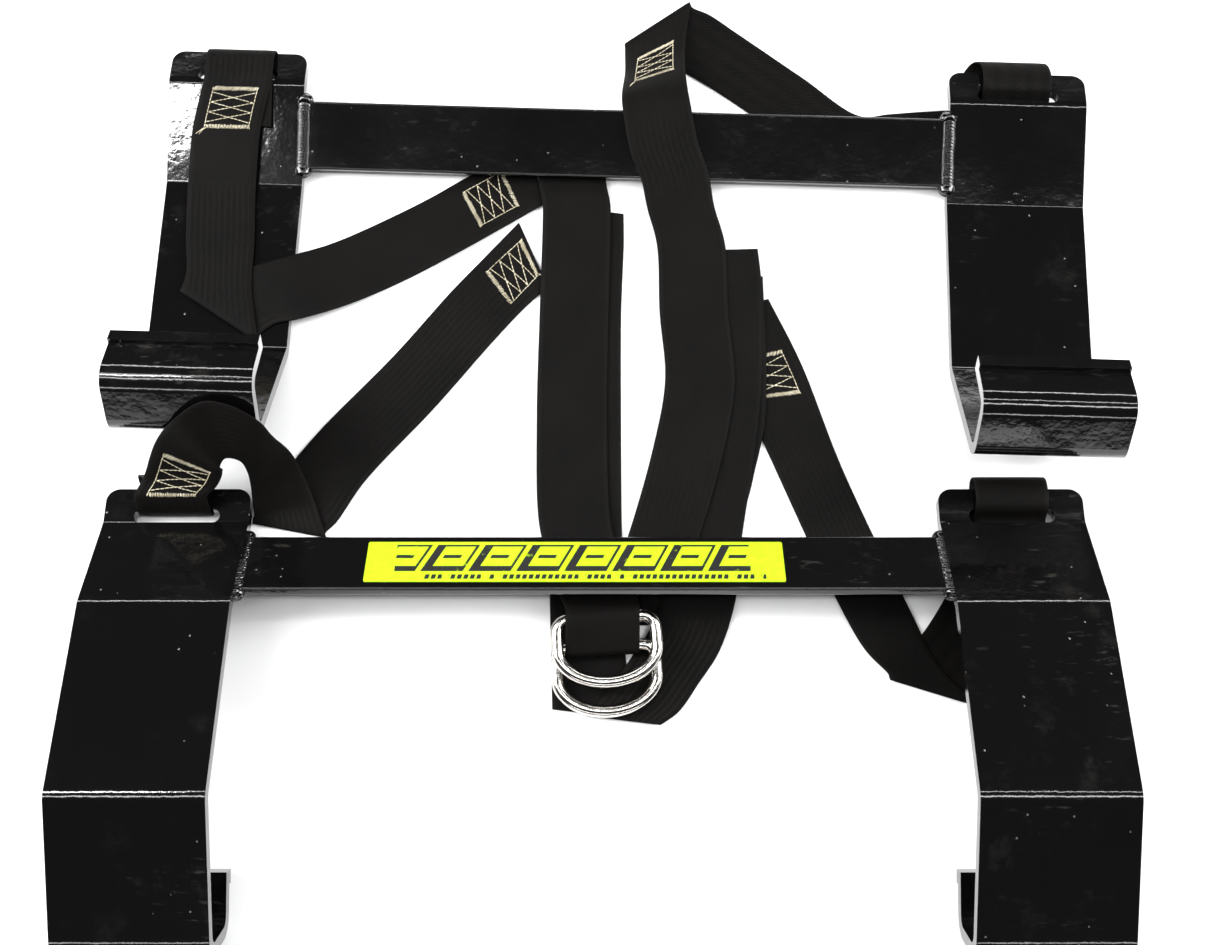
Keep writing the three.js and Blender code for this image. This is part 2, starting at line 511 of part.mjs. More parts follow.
// D-rings: straight bar at the pivot, arms and arc reaching toward -Y
function dRing([y, z], drop) {
  const path = [];
  const corner = 8;
  for (let k = 0; k <= 6; k += 1) path.push([-RING_HALF_WIDTH + corner + k * (RING_HALF_WIDTH - corner) / 3, 0]);
  for (let k = 1; k <= 4; k += 1) {
    const angle = k * Math.PI / 8;
    path.push([RING_HALF_WIDTH - corner + corner * Math.sin(angle), -corner + corner * Math.cos(angle)]);
  }
  for (let k = 0; k <= 20; k += 1) {
    const angle = k * Math.PI / 20;
    path.push([
      RING_HALF_WIDTH * Math.cos(angle),
      -RING_ARMS - (RING_DEPTH - RING_ARMS) * Math.sin(angle),
    ]);
  }
  for (let k = 0; k <= 3; k += 1) {
    const angle = k * Math.PI / 8;
    path.push([-RING_HALF_WIDTH + corner - corner * Math.cos(angle), -corner + corner * Math.sin(angle)]);
  }
  const sides = 10;
  const position = [];
  const index = [];
  const tilt = Math.atan2(drop, RING_DEPTH);
  path.forEach(([px, py], i) => {
    const [bx, by] = path[(i + path.length - 1) % path.length];
    const [ax, ay] = path[(i + 1) % path.length];
    const reach = Math.hypot(ax - bx, ay - by);
    for (let k = 0; k < sides; k += 1) {
      const angle = 2 * Math.PI * k / sides;
      const out = WIRE_RADIUS * Math.cos(angle);
      const lift = WIRE_RADIUS * Math.sin(angle);
      position.push(px + out * (ay - by) / reach, py - out * (ax - bx) / reach, lift);
      const next = (i + 1) % path.length;
      const around = (k + 1) % sides;
      index.push(i * sides + k, next * sides + k, next * sides + around);
      index.push(i * sides + k, next * sides + around, i * sides + around);
    }
  });
  const geometry = new THREE.BufferGeometry();
  geometry.setAttribute('position', new THREE.BufferAttribute(new Float32Array(position), 3));
  geometry.setIndex(index);
  geometry.applyMatrix4(new THREE.Matrix4().makeRotationX(tilt));
  geometry.applyMatrix4(new THREE.Matrix4().makeRotationZ(RING_YAW)).translate(RING_CENTRE, y, z);
  geometry.computeVertexNormals();
  return geometry;
}
addPart('top_d_ring', dRing(TOP_PIVOT, 1.3), nickel);
addPart('bottom_d_ring', dRing(BOTTOM_PIVOT, 1.8), nickel);

// Bring the whole harness to the shared origin: middle of its footprint, on the ground
const bounds = new THREE.Box3().setFromObject(group, true);
const shift = bounds.getCenter(new THREE.Vector3()).negate();
shift.z = -bounds.min.z;
group.traverse((node) => {
  if (node.isMesh) node.geometry.translate(shift.x, shift.y, shift.z);
});

export default group;
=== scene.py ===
import bpy
import bmesh
import random
from math import atan2, ceil, copysign, cos, hypot, pi, radians, sin, tan
from mathutils import Matrix, Vector


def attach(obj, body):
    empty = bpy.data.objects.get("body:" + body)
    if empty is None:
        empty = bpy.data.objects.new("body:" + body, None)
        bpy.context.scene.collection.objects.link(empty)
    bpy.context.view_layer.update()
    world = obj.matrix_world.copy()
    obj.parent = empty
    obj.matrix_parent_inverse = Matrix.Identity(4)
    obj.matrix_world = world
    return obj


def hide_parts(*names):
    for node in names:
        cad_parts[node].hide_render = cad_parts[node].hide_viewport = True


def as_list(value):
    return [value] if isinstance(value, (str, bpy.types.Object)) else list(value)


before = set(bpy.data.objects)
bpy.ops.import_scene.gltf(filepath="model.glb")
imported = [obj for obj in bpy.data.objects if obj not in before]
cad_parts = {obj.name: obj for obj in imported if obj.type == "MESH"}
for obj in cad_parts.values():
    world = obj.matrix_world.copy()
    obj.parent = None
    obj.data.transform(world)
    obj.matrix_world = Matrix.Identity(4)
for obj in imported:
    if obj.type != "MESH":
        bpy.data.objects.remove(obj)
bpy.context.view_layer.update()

# ---- Camera, floor and light ------------------------------------------------------------------
# The frames lie on a white sweep and are seen from above and a little in front. Two big soft lamps
# stand at the sides, with narrow ones behind, in front and above, and a small one for a glint.
scene = bpy.context.scene
eye_data = bpy.data.cameras.new("camera")
eye_data.sensor_width = 36
eye_data.lens = 47.796
eye = bpy.data.objects.new("camera", eye_data)
eye.location = (-0.003155, -0.352747, 1.105791)
eye.rotation_euler = (radians(16.45), 0, 0)
scene.collection.objects.link(eye)
scene.camera = eye
scene.view_settings.view_transform = "Standard"


def add(tree, kind, inputs=None, **settings):
    made = tree.nodes.new(kind)
    for name, value in settings.items():
        setattr(made, name, value)
    for name, value in (inputs or {}).items():
        if isinstance(value, bpy.types.NodeSocket):
            tree.links.new(value, made.inputs[name])
        else:
            made.inputs[name].default_value = value
    return made


def math(tree, operation, first, second=0.0, third=0.0, clamp=False):
    return add(tree, "ShaderNodeMath", {0: first, 1: second, 2: third},
               operation=operation, use_clamp=clamp).outputs[0]


def ramp(tree, value, low, high, bottom=0.0, top=1.0):
    return add(tree, "ShaderNodeMapRange", {"Value": value, "From Min": low, "From Max": high,
                                            "To Min": bottom, "To Max": top}).outputs[0]


def mixed(tree, share, a, b):
    return add(tree, "ShaderNodeMix", {0: share, 6: a, 7: b}, data_type="RGBA").outputs[2]


def blank(name):
    material = bpy.data.materials.new(name)
    material.use_nodes = True
    tree = material.node_tree
    return material, tree, tree.nodes["Principled BSDF"]


floor_paper, tree, surface = blank("floor_paper")
paper = add(tree, "ShaderNodeTexNoise", {"Vector": add(tree, "ShaderNodeTexCoord").outputs["Object"],
                                         "Scale": 6.0, "Detail": 4.0})
tree.links.new(mixed(tree, paper.outputs[0], (0.86, 0.86, 0.86, 1), (0.9, 0.9, 0.9, 1)),
               surface.inputs["Base Color"])
surface.inputs["Roughness"].default_value = 0.95
surface.inputs["Specular IOR Level"].default_value = 0.1
bpy.ops.mesh.primitive_plane_add(size=9, location=(0, 0, 0))
floor = bpy.context.object
floor.name = "floor"
floor.data.materials.append(floor_paper)

world = bpy.data.worlds.new("studio")
scene.world = world
world.use_nodes = True
world.node_tree.nodes["Background"].inputs["Color"].default_value = (0.09, 0.095, 0.105, 1)
world.node_tree.nodes["Background"].inputs["Strength"].default_value = 0.5
for name, place, size, power in (
        ("lamp_left", (-2.0, 0.3, 1.5), (1.5, 1.5), 100),
        ("lamp_right", (2.0, 0.3, 1.5), (1.5, 1.5), 92),
        ("lamp_back", (0.0, 2.2, 1.5), (3.0, 0.22), 22),
        ("lamp_front", (0.0, -2.4, 1.2), (3.2, 0.22), 14),
        ("lamp_above", (0.0, -0.50, 2.4), (3.0, 0.22), 22),
        ("lamp_beyond", (0.0, 0.42, 2.4), (3.0, 0.10), 12),
        ("lamp_glint", (-0.84, 0.05, 1.35), (0.10, 0.44), 5.0)):
    lamp_data = bpy.data.lights.new(name, "AREA")
    lamp_data.shape = "RECTANGLE"
    lamp_data.size, lamp_data.size_y = size
    lamp_data.energy = power
    lamp = bpy.data.objects.new(name, lamp_data)
    lamp.location = place
    aim = Vector((-0.30, 0.24, 0)) if name == "lamp_glint" else Vector((0, 0, 0))
    lamp.rotation_euler = (aim - Vector(place)).to_track_quat("-Z", "Y").to_euler()
    scene.collection.objects.link(lamp)

# ---- Four hook brackets ------------------------------------------------------------------------
# Each one is a length of 4 in by 5/16 in hot-rolled flat bar, bent cold in a press brake: a slotted
# tab, a sloping seat, a long flat deck, a rise, then a hook with a rail left along its lip. All
# corners are ground, and the whole frame is sprayed in thick gloss black.
gloss_paint, tree, surface = blank("gloss_paint")
where = add(tree, "ShaderNodeTexCoord").outputs["Object"]
wide = add(tree, "ShaderNodeTexNoise", {"Vector": where, "Scale": 9.0, "Detail": 5.0, "Roughness": 0.6})
streaks = add(tree, "ShaderNodeMapping", {"Vector": where, "Rotation": (0, 0, 0.9), "Scale": (75, 280, 220)})
streak = add(tree, "ShaderNodeTexNoise", {"Vector": streaks.outputs[0], "Scale": 1.0, "Detail": 5.0})
scuff = math(tree, "MULTIPLY", ramp(tree, streak.outputs[0], 0.62, 0.72),
             ramp(tree, wide.outputs[0], 0.52, 0.62))
smear = add(tree, "ShaderNodeTexNoise", {"Vector": where, "Scale": 26.0, "Detail": 6.0, "Roughness": 0.7})
haze = math(tree, "MULTIPLY", ramp(tree, smear.outputs[0], 0.56, 0.72),
            ramp(tree, wide.outputs[0], 0.42, 0.6))
cells = add(tree, "ShaderNodeTexVoronoi", {"Vector": where, "Scale": 170.0, "Randomness": 1.0})
picked = ramp(tree, add(tree, "ShaderNodeSeparateColor", {0: cells.outputs["Color"]}).outputs[0], 0.93, 0.94)
speck = math(tree, "MULTIPLY", ramp(tree, cells.outputs["Distance"], 0.14, 0.07), picked)
dust = math(tree, "ADD", math(tree, "MULTIPLY", speck, 0.8), math(tree, "MULTIPLY", haze, 0.07), clamp=True)
dust = math(tree, "ADD", dust, math(tree, "MULTIPLY", scuff, 0.15), clamp=True)
tree.links.new(mixed(tree, dust, (0.0022, 0.0020, 0.0021, 1), (0.11, 0.105, 0.09, 1)),
               surface.inputs["Base Color"])
rough = math(tree, "ADD", ramp(tree, wide.outputs[0], 0.3, 0.75, 0.06, 0.15),
             math(tree, "MULTIPLY", dust, 0.35), clamp=True)
tree.links.new(rough, surface.inputs["Roughness"])
surface.inputs["Coat Weight"].default_value = 0.6
surface.inputs["Coat Roughness"].default_value = 0.03
surface.inputs["Specular IOR Level"].default_value = 0.45
peel = add(tree, "ShaderNodeTexNoise", {"Vector": where, "Scale": 330.0, "Detail": 2.0})
sag = add(tree, "ShaderNodeTexNoise", {"Vector": where, "Scale": 46.0, "Detail": 3.0})
height = math(tree, "ADD", math(tree, "MULTIPLY", peel.outputs[0], 0.16), sag.outputs[0])
height = math(tree, "ADD", height, math(tree, "MULTIPLY", speck, 0.25))
bump = add(tree, "ShaderNodeBump", {"Height": height, "Distance": 0.0005, "Strength": 0.75})
tree.links.new(bump.outputs[0], surface.inputs["Normal"])
tree.links.new(bump.outputs[0], surface.inputs["Coat Normal"])

PLATE = (0.1016, 0.00794)
PLATE_EDGE = 0.0014
TAB_CORNER = 0.0095
SLOT = (0.060, 0.010)
SLOT_BACK = 0.020
RAIL = (0.009, 0.004)
BRACKET_OUT = 0.2921
RUNS = (0.0254, 0.0762, 0.132, 0.103, 0.0429, 0.0375)
HEADINGS = [radians(a) for a in (8, -18, 0, 37, 125, 207)]
BEND = 0.011
# the layout was set out, in millimetres, from a point between the crossbars; this moves it so that the
# middle of its footprint is at the origin, on the ground
LAID = Vector((-3.15541, -26.34674, 0.09129))
far_spot = Matrix.Translation((Vector((12.55, 215.2, 3.97)) + LAID) * 0.001)
near_spot = Matrix.Translation((Vector((-8.84, -106.9, 52.3)) + LAID) * 0.001)
tip = radians(13.5)
upper_place = far_spot @ Matrix.Rotation(radians(-1.8), 4, "Z")
lower_place = near_spot @ Matrix(((-1, 0, 0, 0), (0, cos(tip), -sin(tip), 0),
                                  (0, -sin(tip), -cos(tip), 0), (0, 0, 0, 1)))
# corners of the side profile, the second bend at the origin, running down -Y
corners = [Vector((0, 0, 0))]
for long_, heading in zip(RUNS, HEADINGS):
    corners.append(corners[-1] + Vector((0, -cos(heading), sin(heading))) * long_)
corners = [c - corners[2] for c in corners]
tab_end = corners[0].copy()


def finished(obj, name, place, material, body, stands_for, angle=35):
    obj.name = obj.data.name = name
    obj.data.transform(place @ obj.matrix_world)
    obj.matrix_world = Matrix.Identity(4)
    obj.data.materials.clear()
    obj.data.materials.append(material)
    bpy.ops.object.select_all(action="DESELECT")
    obj.select_set(True)
    bpy.context.view_layer.objects.active = obj
    bpy.ops.object.shade_smooth_by_angle(angle=radians(angle))
    if angle < 60:
        even = obj.modifiers.new("even", "WEIGHTED_NORMAL")
        even.keep_sharp = True
        bpy.ops.object.modifier_apply(modifier=even.name)
    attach(obj, body)
    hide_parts(*stands_for)
    return obj


def rounded(obj, width, segments, angle=40):
    soften = obj.modifiers.new("soften", "BEVEL")
    soften.width, soften.segments = width, segments
    soften.limit_method, soften.angle_limit = "ANGLE", radians(angle)
    bpy.ops.object.modifier_apply(modifier=soften.name)


def bracket(name, x, place, body):
    bpy.ops.mesh.primitive_plane_add(size=1)
    obj = bpy.context.object
    bpy.ops.object.mode_set(mode="EDIT")
    bpy.ops.mesh.select_all(action="SELECT")
    bpy.ops.transform.resize(value=(PLATE[0], PLATE[1], 1))
    bpy.ops.transform.rotate(value=HEADINGS[0] - radians(90), orient_axis="X", center_override=(0, 0, 0))
    bpy.ops.transform.translate(value=corners[0])
    bpy.ops.mesh.delete(type="ONLY_FACE")
    bpy.ops.mesh.select_all(action="SELECT")
    used = 0.0
    for i, long_ in enumerate(RUNS):
        last = i == len(RUNS) - 1
        turn = 0 if last else HEADINGS[i + 1] - HEADINGS[i]
        reach = BEND * tan(abs(turn) / 2)
        ahead = Vector((0, -cos(HEADINGS[i]), sin(HEADINGS[i])))
        straight = long_ - used - reach
        bpy.ops.mesh.extrude_region_move(TRANSFORM_OT_translate={"value": ahead * straight})
        used = reach
        if not last:
            left = Vector((0, sin(HEADINGS[i]), cos(HEADINGS[i]))) * copysign(BEND, turn)
            bpy.ops.mesh.spin(steps=ceil(abs(turn) / radians(4)), angle=turn, axis=(1, 0, 0),
                              center=corners[i + 1] - ahead * reach + left)
    bpy.ops.mesh.select_all(action="SELECT")
    bpy.ops.mesh.fill_holes(sides=4)
    bpy.ops.mesh.remove_doubles(threshold=1e-6)
    # the rail: the end of the lip is thickened outwards
    ahead = Vector((0, -cos(HEADINGS[-1]), sin(HEADINGS[-1])))
    outward = Vector((0, -sin(HEADINGS[-1]), -cos(HEADINGS[-1])))
    cut = corners[-1] - ahead * RAIL[0]
    bpy.ops.mesh.select_all(action="SELECT")
    bpy.ops.mesh.bisect(plane_co=cut, plane_no=ahead)
    bpy.ops.mesh.select_mode(type="FACE")
    bpy.ops.mesh.select_all(action="DESELECT")
    shape = bmesh.from_edit_mesh(obj.data)
    shape.normal_update()
    for face in shape.faces:
        middle = face.calc_center_median()
        if abs(face.normal.dot(outward)) > 0.95 and (middle - cut).dot(ahead) > 0.001 \
                and (middle - cut).dot(outward) > 0.002 and (middle - corners[-1]).length < 0.02:
            face.select_set(True)
    bmesh.update_edit_mesh(obj.data)
    bpy.ops.mesh.extrude_region_move(TRANSFORM_OT_translate={"value": outward * RAIL[1]})
    # round the two corners of the tab
    bpy.ops.mesh.select_mode(type="EDGE")
    bpy.ops.mesh.select_all(action="DESELECT")
    shape = bmesh.from_edit_mesh(obj.data)
    for edge in shape.edges:
        a, b = (v.co for v in edge.verts)
        if abs(a.x - b.x) < 1e-5 and (a - tab_end).length < 0.06 and (b - tab_end).length < 0.06 \
                and abs((a - b).length - PLATE[1]) < 1e-5 \
                and abs((a - tab_end).dot(Vector((0, -cos(HEADINGS[0]), sin(HEADINGS[0]))))) < 1e-4:
            edge.select_set(True)
    bmesh.update_edit_mesh(obj.data)
    bpy.ops.mesh.bevel(offset=TAB_CORNER, segments=10, affect="EDGES")
    bpy.ops.mesh.select_all(action="SELECT")
    bpy.ops.mesh.normals_make_consistent(inside=False)
    bpy.ops.object.mode_set(mode="OBJECT")
    # mill the strap slot
    bpy.ops.mesh.primitive_cube_add(size=1)
    cutter = bpy.context.object
    cutter.data.transform(Matrix.Diagonal((*SLOT, 0.04, 1)))
    bpy.ops.object.mode_set(mode="EDIT")
    bpy.ops.mesh.select_mode(type="EDGE")
    bpy.ops.mesh.select_all(action="DESELECT")
    shape = bmesh.from_edit_mesh(cutter.data)
    for edge in shape.edges:
        edge.select_set(abs(edge.verts[0].co.z - edge.verts[1].co.z) > 0.03)
    bmesh.update_edit_mesh(cutter.data)
    bpy.ops.mesh.bevel(offset=SLOT[1] * 0.495, segments=8, affect="EDGES")
    bpy.ops.object.mode_set(mode="OBJECT")
    ahead = Vector((0, -cos(HEADINGS[0]), sin(HEADINGS[0])))
    cutter.data.transform(Matrix.Translation(tab_end + ahead * SLOT_BACK)
                          @ Matrix.Rotation(-HEADINGS[0], 4, "X"))
    bpy.context.view_layer.objects.active = obj
    slot = obj.modifiers.new("slot", "BOOLEAN")
    slot.object, slot.operation, slot.solver = cutter, "DIFFERENCE", "EXACT"
    bpy.ops.object.modifier_apply(modifier=slot.name)
    bpy.data.objects.remove(cutter)
    rounded(obj, PLATE_EDGE, 3)
    return finished(obj, name + "_plate", place @ Matrix.Translation((x, 0, 0)), gloss_paint, body, [name])


far, near = "far_frame_and_harness", "near_frame"
for side, sign in (("left", -1), ("right", 1)):
    bracket(f"upper_{side}_bracket", sign * BRACKET_OUT, upper_place, far)
    bracket(f"lower_{side}_bracket", -sign * BRACKET_OUT, lower_place, near)

# ---- Two crossbars -----------------------------------------------------------------------------
# Straight lengths of 2 in by 1/4 in flat bar with rolled edges, let in between the brackets in the
# middle of their sloping seats and sprayed together with them.
slope = radians(18)
seat = Matrix.Translation((corners[1] + corners[2]) / 2) @ Matrix.Rotation(slope, 4, "X")
BAR = (0.4820, 0.0508, 0.00635)
bar_middle = PLATE[1] / 2 + 0.0008 - BAR[2] / 2
for name, place, body in (("upper_crossbar", upper_place, far), ("lower_crossbar", lower_place, near)):
    bpy.ops.mesh.primitive_cube_add(size=1)
    bar = bpy.context.object
    bar.data.transform(Matrix.Translation((0, 0, bar_middle)) @ Matrix.Diagonal((*BAR, 1)))
    bpy.ops.object.mode_set(mode="EDIT")
    bpy.ops.mesh.select_mode(type="EDGE")
    bpy.ops.mesh.select_all(action="DESELECT")
    shape = bmesh.from_edit_mesh(bar.data)
    for edge in shape.edges:
        edge.select_set(abs(edge.verts[0].co.x - edge.verts[1].co.x) > 0.1)
    bmesh.update_edit_mesh(bar.data)
    bpy.ops.mesh.bevel(offset=0.0016, segments=5, affect="EDGES")
    bpy.ops.object.mode_set(mode="OBJECT")
    finished(bar, name + "_bar", place @ seat, gloss_paint, body, [name])

# ---- Four welds --------------------------------------------------------------------------------
# Where a crossbar meets a bracket a stick-welded bead runs right round the bar's end. It lies nearly
# flush on the wide faces and stands up as a fat fillet at the narrow edges, and its overlapping
# ripples show through the paint.
def weld(name, side, place, body, seed):
    rng = random.Random(seed)
    half, top, under = BAR[1] / 2, bar_middle + BAR[2] / 2, bar_middle - BAR[2] / 2
    loop = []
    for cy, cz, start in ((half - 0.002, top - 0.002, 0), (-half + 0.002, top - 0.002, 90),
                          (-half + 0.002, under + 0.002, 180), (half - 0.002, under + 0.002, 270)):
        for k in range(7):
            a = radians(start + 15 * k)
            loop.append((Vector((cy + 0.002 * cos(a), cz + 0.002 * sin(a))), Vector((cos(a), sin(a)))))
    fine = []
    for i, (point, out) in enumerate(loop):
        after, turned = loop[(i + 1) % len(loop)]
        steps = max(1, round((after - point).length / 0.0003))
        fine += [(point.lerp(after, k / steps), out.lerp(turned, k / steps).normalized())
                 for k in range(steps)]
    verts, faces, around, walked = [], [], 15, 0.0
    wobble = [rng.uniform(-1, 1) for _ in range(60)]
    for i, (point, out) in enumerate(fine):
        walked += (point - fine[i - 1][0]).length if i else 0
        edge = abs(out.x) ** 2
        tall = 0.0019 + 0.0046 * edge
        broad = 0.0046 + 0.0016 * edge
        drift = wobble[int(walked / 0.004) % 60] * 0.00025
        for k in range(around):
            a = pi * (k / (around - 1)) - pi / 2
            lag = walked + 0.0016 * cos(a) ** 2
            ripple = 1 + 0.09 * sin(2 * pi * lag / 0.0024) + 0.05 * wobble[int(lag / 0.0024) % 60]
            up = tall * ripple * cos(a) - 0.0005
            across = (broad * ripple ** 0.5) * sin(a) + drift + 0.0004
            spot = point + out * up
            verts.append((-side * across + side * (BRACKET_OUT - PLATE[0] / 2), spot.x, spot.y))
    count = len(fine)
    for i in range(count):
        for k in range(around - 1):
            a, b = i * around + k, ((i + 1) % count) * around + k
            faces.append((a, a + 1, b + 1, b))
    mesh = bpy.data.meshes.new(name)
    mesh.from_pydata(verts, [], faces)
    bead = bpy.data.objects.new(name, mesh)
    scene.collection.objects.link(bead)
    bpy.ops.object.select_all(action="DESELECT")
    bpy.context.view_layer.objects.active = bead
    bead.select_set(True)
    bpy.ops.object.mode_set(mode="EDIT")
    bpy.ops.mesh.select_all(action="SELECT")
    bpy.ops.mesh.normals_make_consistent(inside=False)
    bpy.ops.object.mode_set(mode="OBJECT")
    return finished(bead, name + "_bead", place @ seat, gloss_paint, body, [name], angle=180)


for side, sign in (("left", -1), ("right", 1)):
    weld(f"upper_{side}_weld", sign, upper_place, far, 3 + sign)
    weld(f"lower_{side}_weld", -sign, lower_place, near, 13 + sign)

# ---- Label -------------------------------------------------------------------------------------
# A printed vinyl film, 285 by 38 mm, pressed on to the near crossbar. Bright yellow-green, with a row
# of slanted shadowed blocks and a line of fine dashes standing in for a maker's print.
LABEL = (0.285, 0.038, 0.0005)
label_film, tree, surface = blank("label_film")
spot = add(tree, "ShaderNodeSeparateXYZ", {0: add(tree, "ShaderNodeUVMap", uv_map="UVMap").outputs[0]})
across, along = spot.outputs[0], spot.outputs[1]


def block(tree, u, v, low, high, left, right, slant, pitch):
    run = math(tree, "SUBTRACT", u, math(tree, "MULTIPLY", v, slant))
    part = math(tree, "MULTIPLY", math(tree, "FRACT", math(tree, "DIVIDE", run, pitch)), pitch)
    inside = math(tree, "MULTIPLY", math(tree, "GREATER_THAN", part, left),
                  math(tree, "LESS_THAN", part, right))
    band = math(tree, "MULTIPLY", math(tree, "GREATER_THAN", v, low), math(tree, "LESS_THAN", v, high))
    return math(tree, "MULTIPLY", inside, band)


outer = block(tree, across, along, 0.0098, 0.0352, 0.0010, 0.0298, 0.42, 0.0325)
inner = block(tree, across, along, 0.0148, 0.0334, 0.0070, 0.0278, 0.42, 0.0325)
ends = math(tree, "MULTIPLY", math(tree, "GREATER_THAN", across, 0.020),
            math(tree, "LESS_THAN", across, 0.262))
marks = math(tree, "MULTIPLY", math(tree, "SUBTRACT", outer, inner, clamp=True), ends)
stripe = block(tree, across, along, 0.0222, 0.0254, 0.0100, 0.0222, 0.42, 0.0325)
marks = math(tree, "MAXIMUM", marks, math(tree, "MULTIPLY", stripe, ends))
dash = block(tree, across, along, 0.0026, 0.0068, 0.0006, 0.0036, 0.2, 0.0044)
word = add(tree, "ShaderNodeTexWhiteNoise",
           {"W": math(tree, "FLOOR", math(tree, "DIVIDE", across, 0.0044))}, noise_dimensions="1D").outputs[0]
line = math(tree, "MULTIPLY", math(tree, "GREATER_THAN", across, 0.040),
            math(tree, "LESS_THAN", across, 0.272))
dash = math(tree, "MULTIPLY", math(tree, "MULTIPLY", dash, math(tree, "GREATER_THAN", word, 0.16)), line)
ink = math(tree, "MAXIMUM", marks, dash)
worn = add(tree, "ShaderNodeTexNoise", {"Vector": add(tree, "ShaderNodeTexCoord").outputs["Object"],
                                        "Scale": 240.0, "Detail": 5.0})
shade = mixed(tree, ramp(tree, worn.outputs[0], 0.35, 0.7), (0.36, 0.60, 0.002, 1), (0.42, 0.66, 0.003, 1))
ink = math(tree, "MULTIPLY", ink, ramp(tree, worn.outputs[0], 0.28, 0.36, 0.55, 1.0))
tree.links.new(mixed(tree, ink, shade, (0.006, 0.006, 0.006, 1)), surface.inputs["Base Color"])
tree.links.new(ramp(tree, worn.outputs[0], 0.3, 0.7, 0.34, 0.5), surface.inputs["Roughness"])
lift = add(tree, "ShaderNodeBump", {"Height": worn.outputs[0], "Distance": 0.0001, "Strength": 0.3})
tree.links.new(lift.outputs[0], surface.inputs["Normal"])
bpy.ops.mesh.primitive_cube_add(size=1)
film = bpy.context.object
film.data.transform(Matrix.Diagonal((*LABEL, 1)))
bpy.ops.object.mode_set(mode="EDIT")
bpy.ops.mesh.select_mode(type="EDGE")
bpy.ops.mesh.select_all(action="DESELECT")
shape = bmesh.from_edit_mesh(film.data)
for edge in shape.edges:
    edge.select_set(abs(edge.verts[0].co.z - edge.verts[1].co.z) > 1e-4)
bmesh.update_edit_mesh(film.data)
bpy.ops.mesh.bevel(offset=0.0015, segments=5, affect="EDGES")
bpy.ops.object.mode_set(mode="OBJECT")
flat_map = film.data.uv_layers["UVMap"]
for loop_ in film.data.loops:
    co = film.data.vertices[loop_.vertex_index].co
    flat_map.data[loop_.index].uv = (LABEL[0] / 2 - co.x, co.y + LABEL[1] / 2)
under_bar = bar_middle - BAR[2] / 2 - 0.0003
finished(film, "lower_label_film", lower_place @ seat @ Matrix.Translation((0.013, 0, under_bar)),
                 label_film, near, ["lower_label"])

# ---- Sling straps ------------------------------------------------------------------------------
# Four lengths of 2 in woven polyester webbing. Each is looped through a bracket's slot round the bar
# of plate outside it, lies across the ground folded flat where it turns, and ends under the bundle in
# the middle. One face is smooth, the other shows a bold diagonal twill.
def woven_group():
    tree = bpy.data.node_groups.new("woven_band", "ShaderNodeTree")
    for name, kind, way in (("Bold", "NodeSocketFloat", "INPUT"), ("Color", "NodeSocketColor", "OUTPUT"),
                            ("Roughness", "NodeSocketFloat", "OUTPUT"),
                            ("Height", "NodeSocketFloat", "OUTPUT")):
        tree.interface.new_socket(name=name, in_out=way, socket_type=kind)
    given = tree.nodes.new("NodeGroupInput").outputs["Bold"]
    spot = add(tree, "ShaderNodeSeparateXYZ", {0: add(tree, "ShaderNodeUVMap", uv_map="UVMap").outputs[0]})
    across, along = spot.outputs[0], spot.outputs[1]
    zig = math(tree, "PINGPONG", across, 0.0022)
    fine = math(tree, "SINE", math(tree, "MULTIPLY", math(tree, "ADD", along, zig), 2 * pi / 0.0011))
    warp = math(tree, "SINE", math(tree, "MULTIPLY", across, 2 * pi / 0.0008))
    smooth_face = math(tree, "MULTIPLY_ADD", warp, 0.12, math(tree, "MULTIPLY", fine, 0.4))
    twill = math(tree, "SINE", math(tree, "MULTIPLY", math(tree, "MULTIPLY_ADD", across, 1.3, along),
                                    2 * pi / 0.0029))
    cord_ = math(tree, "SINE", math(tree, "MULTIPLY", across, 2 * pi / 0.0121))
    bold_face = math(tree, "MULTIPLY_ADD", cord_, 0.55, math(tree, "MULTIPLY", twill, 1.4))
    weave = add(tree, "ShaderNodeMix", {0: given, 2: smooth_face, 3: bold_face}).outputs[0]
    where = add(tree, "ShaderNodeTexCoord").outputs["Object"]
    fuzz = add(tree, "ShaderNodeTexNoise", {"Vector": where, "Scale": 1500.0, "Detail": 2.0}).outputs[0]
    handled = add(tree, "ShaderNodeTexNoise", {"Vector": where, "Scale": 22.0, "Detail": 5.0}).outputs[0]
    rim = ramp(tree, math(tree, "ABSOLUTE", across), 0.0225, 0.0238)
    level = math(tree, "MULTIPLY_ADD", weave, 0.2, 0.5)
    level = math(tree, "ADD", level, math(tree, "MULTIPLY", math(tree, "SUBTRACT", fuzz, 0.5), 0.5))
    level = math(tree, "ADD", level, math(tree, "MULTIPLY", math(tree, "SUBTRACT", handled, 0.5), 0.7))
    level = math(tree, "ADD", level, math(tree, "MULTIPLY", rim, 0.14), clamp=True)
    colour = mixed(tree, level, (0.0005, 0.0005, 0.0005, 1), (0.0052, 0.0045, 0.0040, 1))
    made = add(tree, "NodeGroupOutput")
    tree.links.new(colour, made.inputs["Color"])
    tree.links.new(ramp(tree, level, 0.1, 0.9, 0.62, 0.48), made.inputs["Roughness"])
    soft = math(tree, "MULTIPLY", handled, 3.0)
    tree.links.new(math(tree, "ADD", math(tree, "MULTIPLY_ADD", fuzz, 0.5, weave), soft),
                   made.inputs["Height"])
    return tree


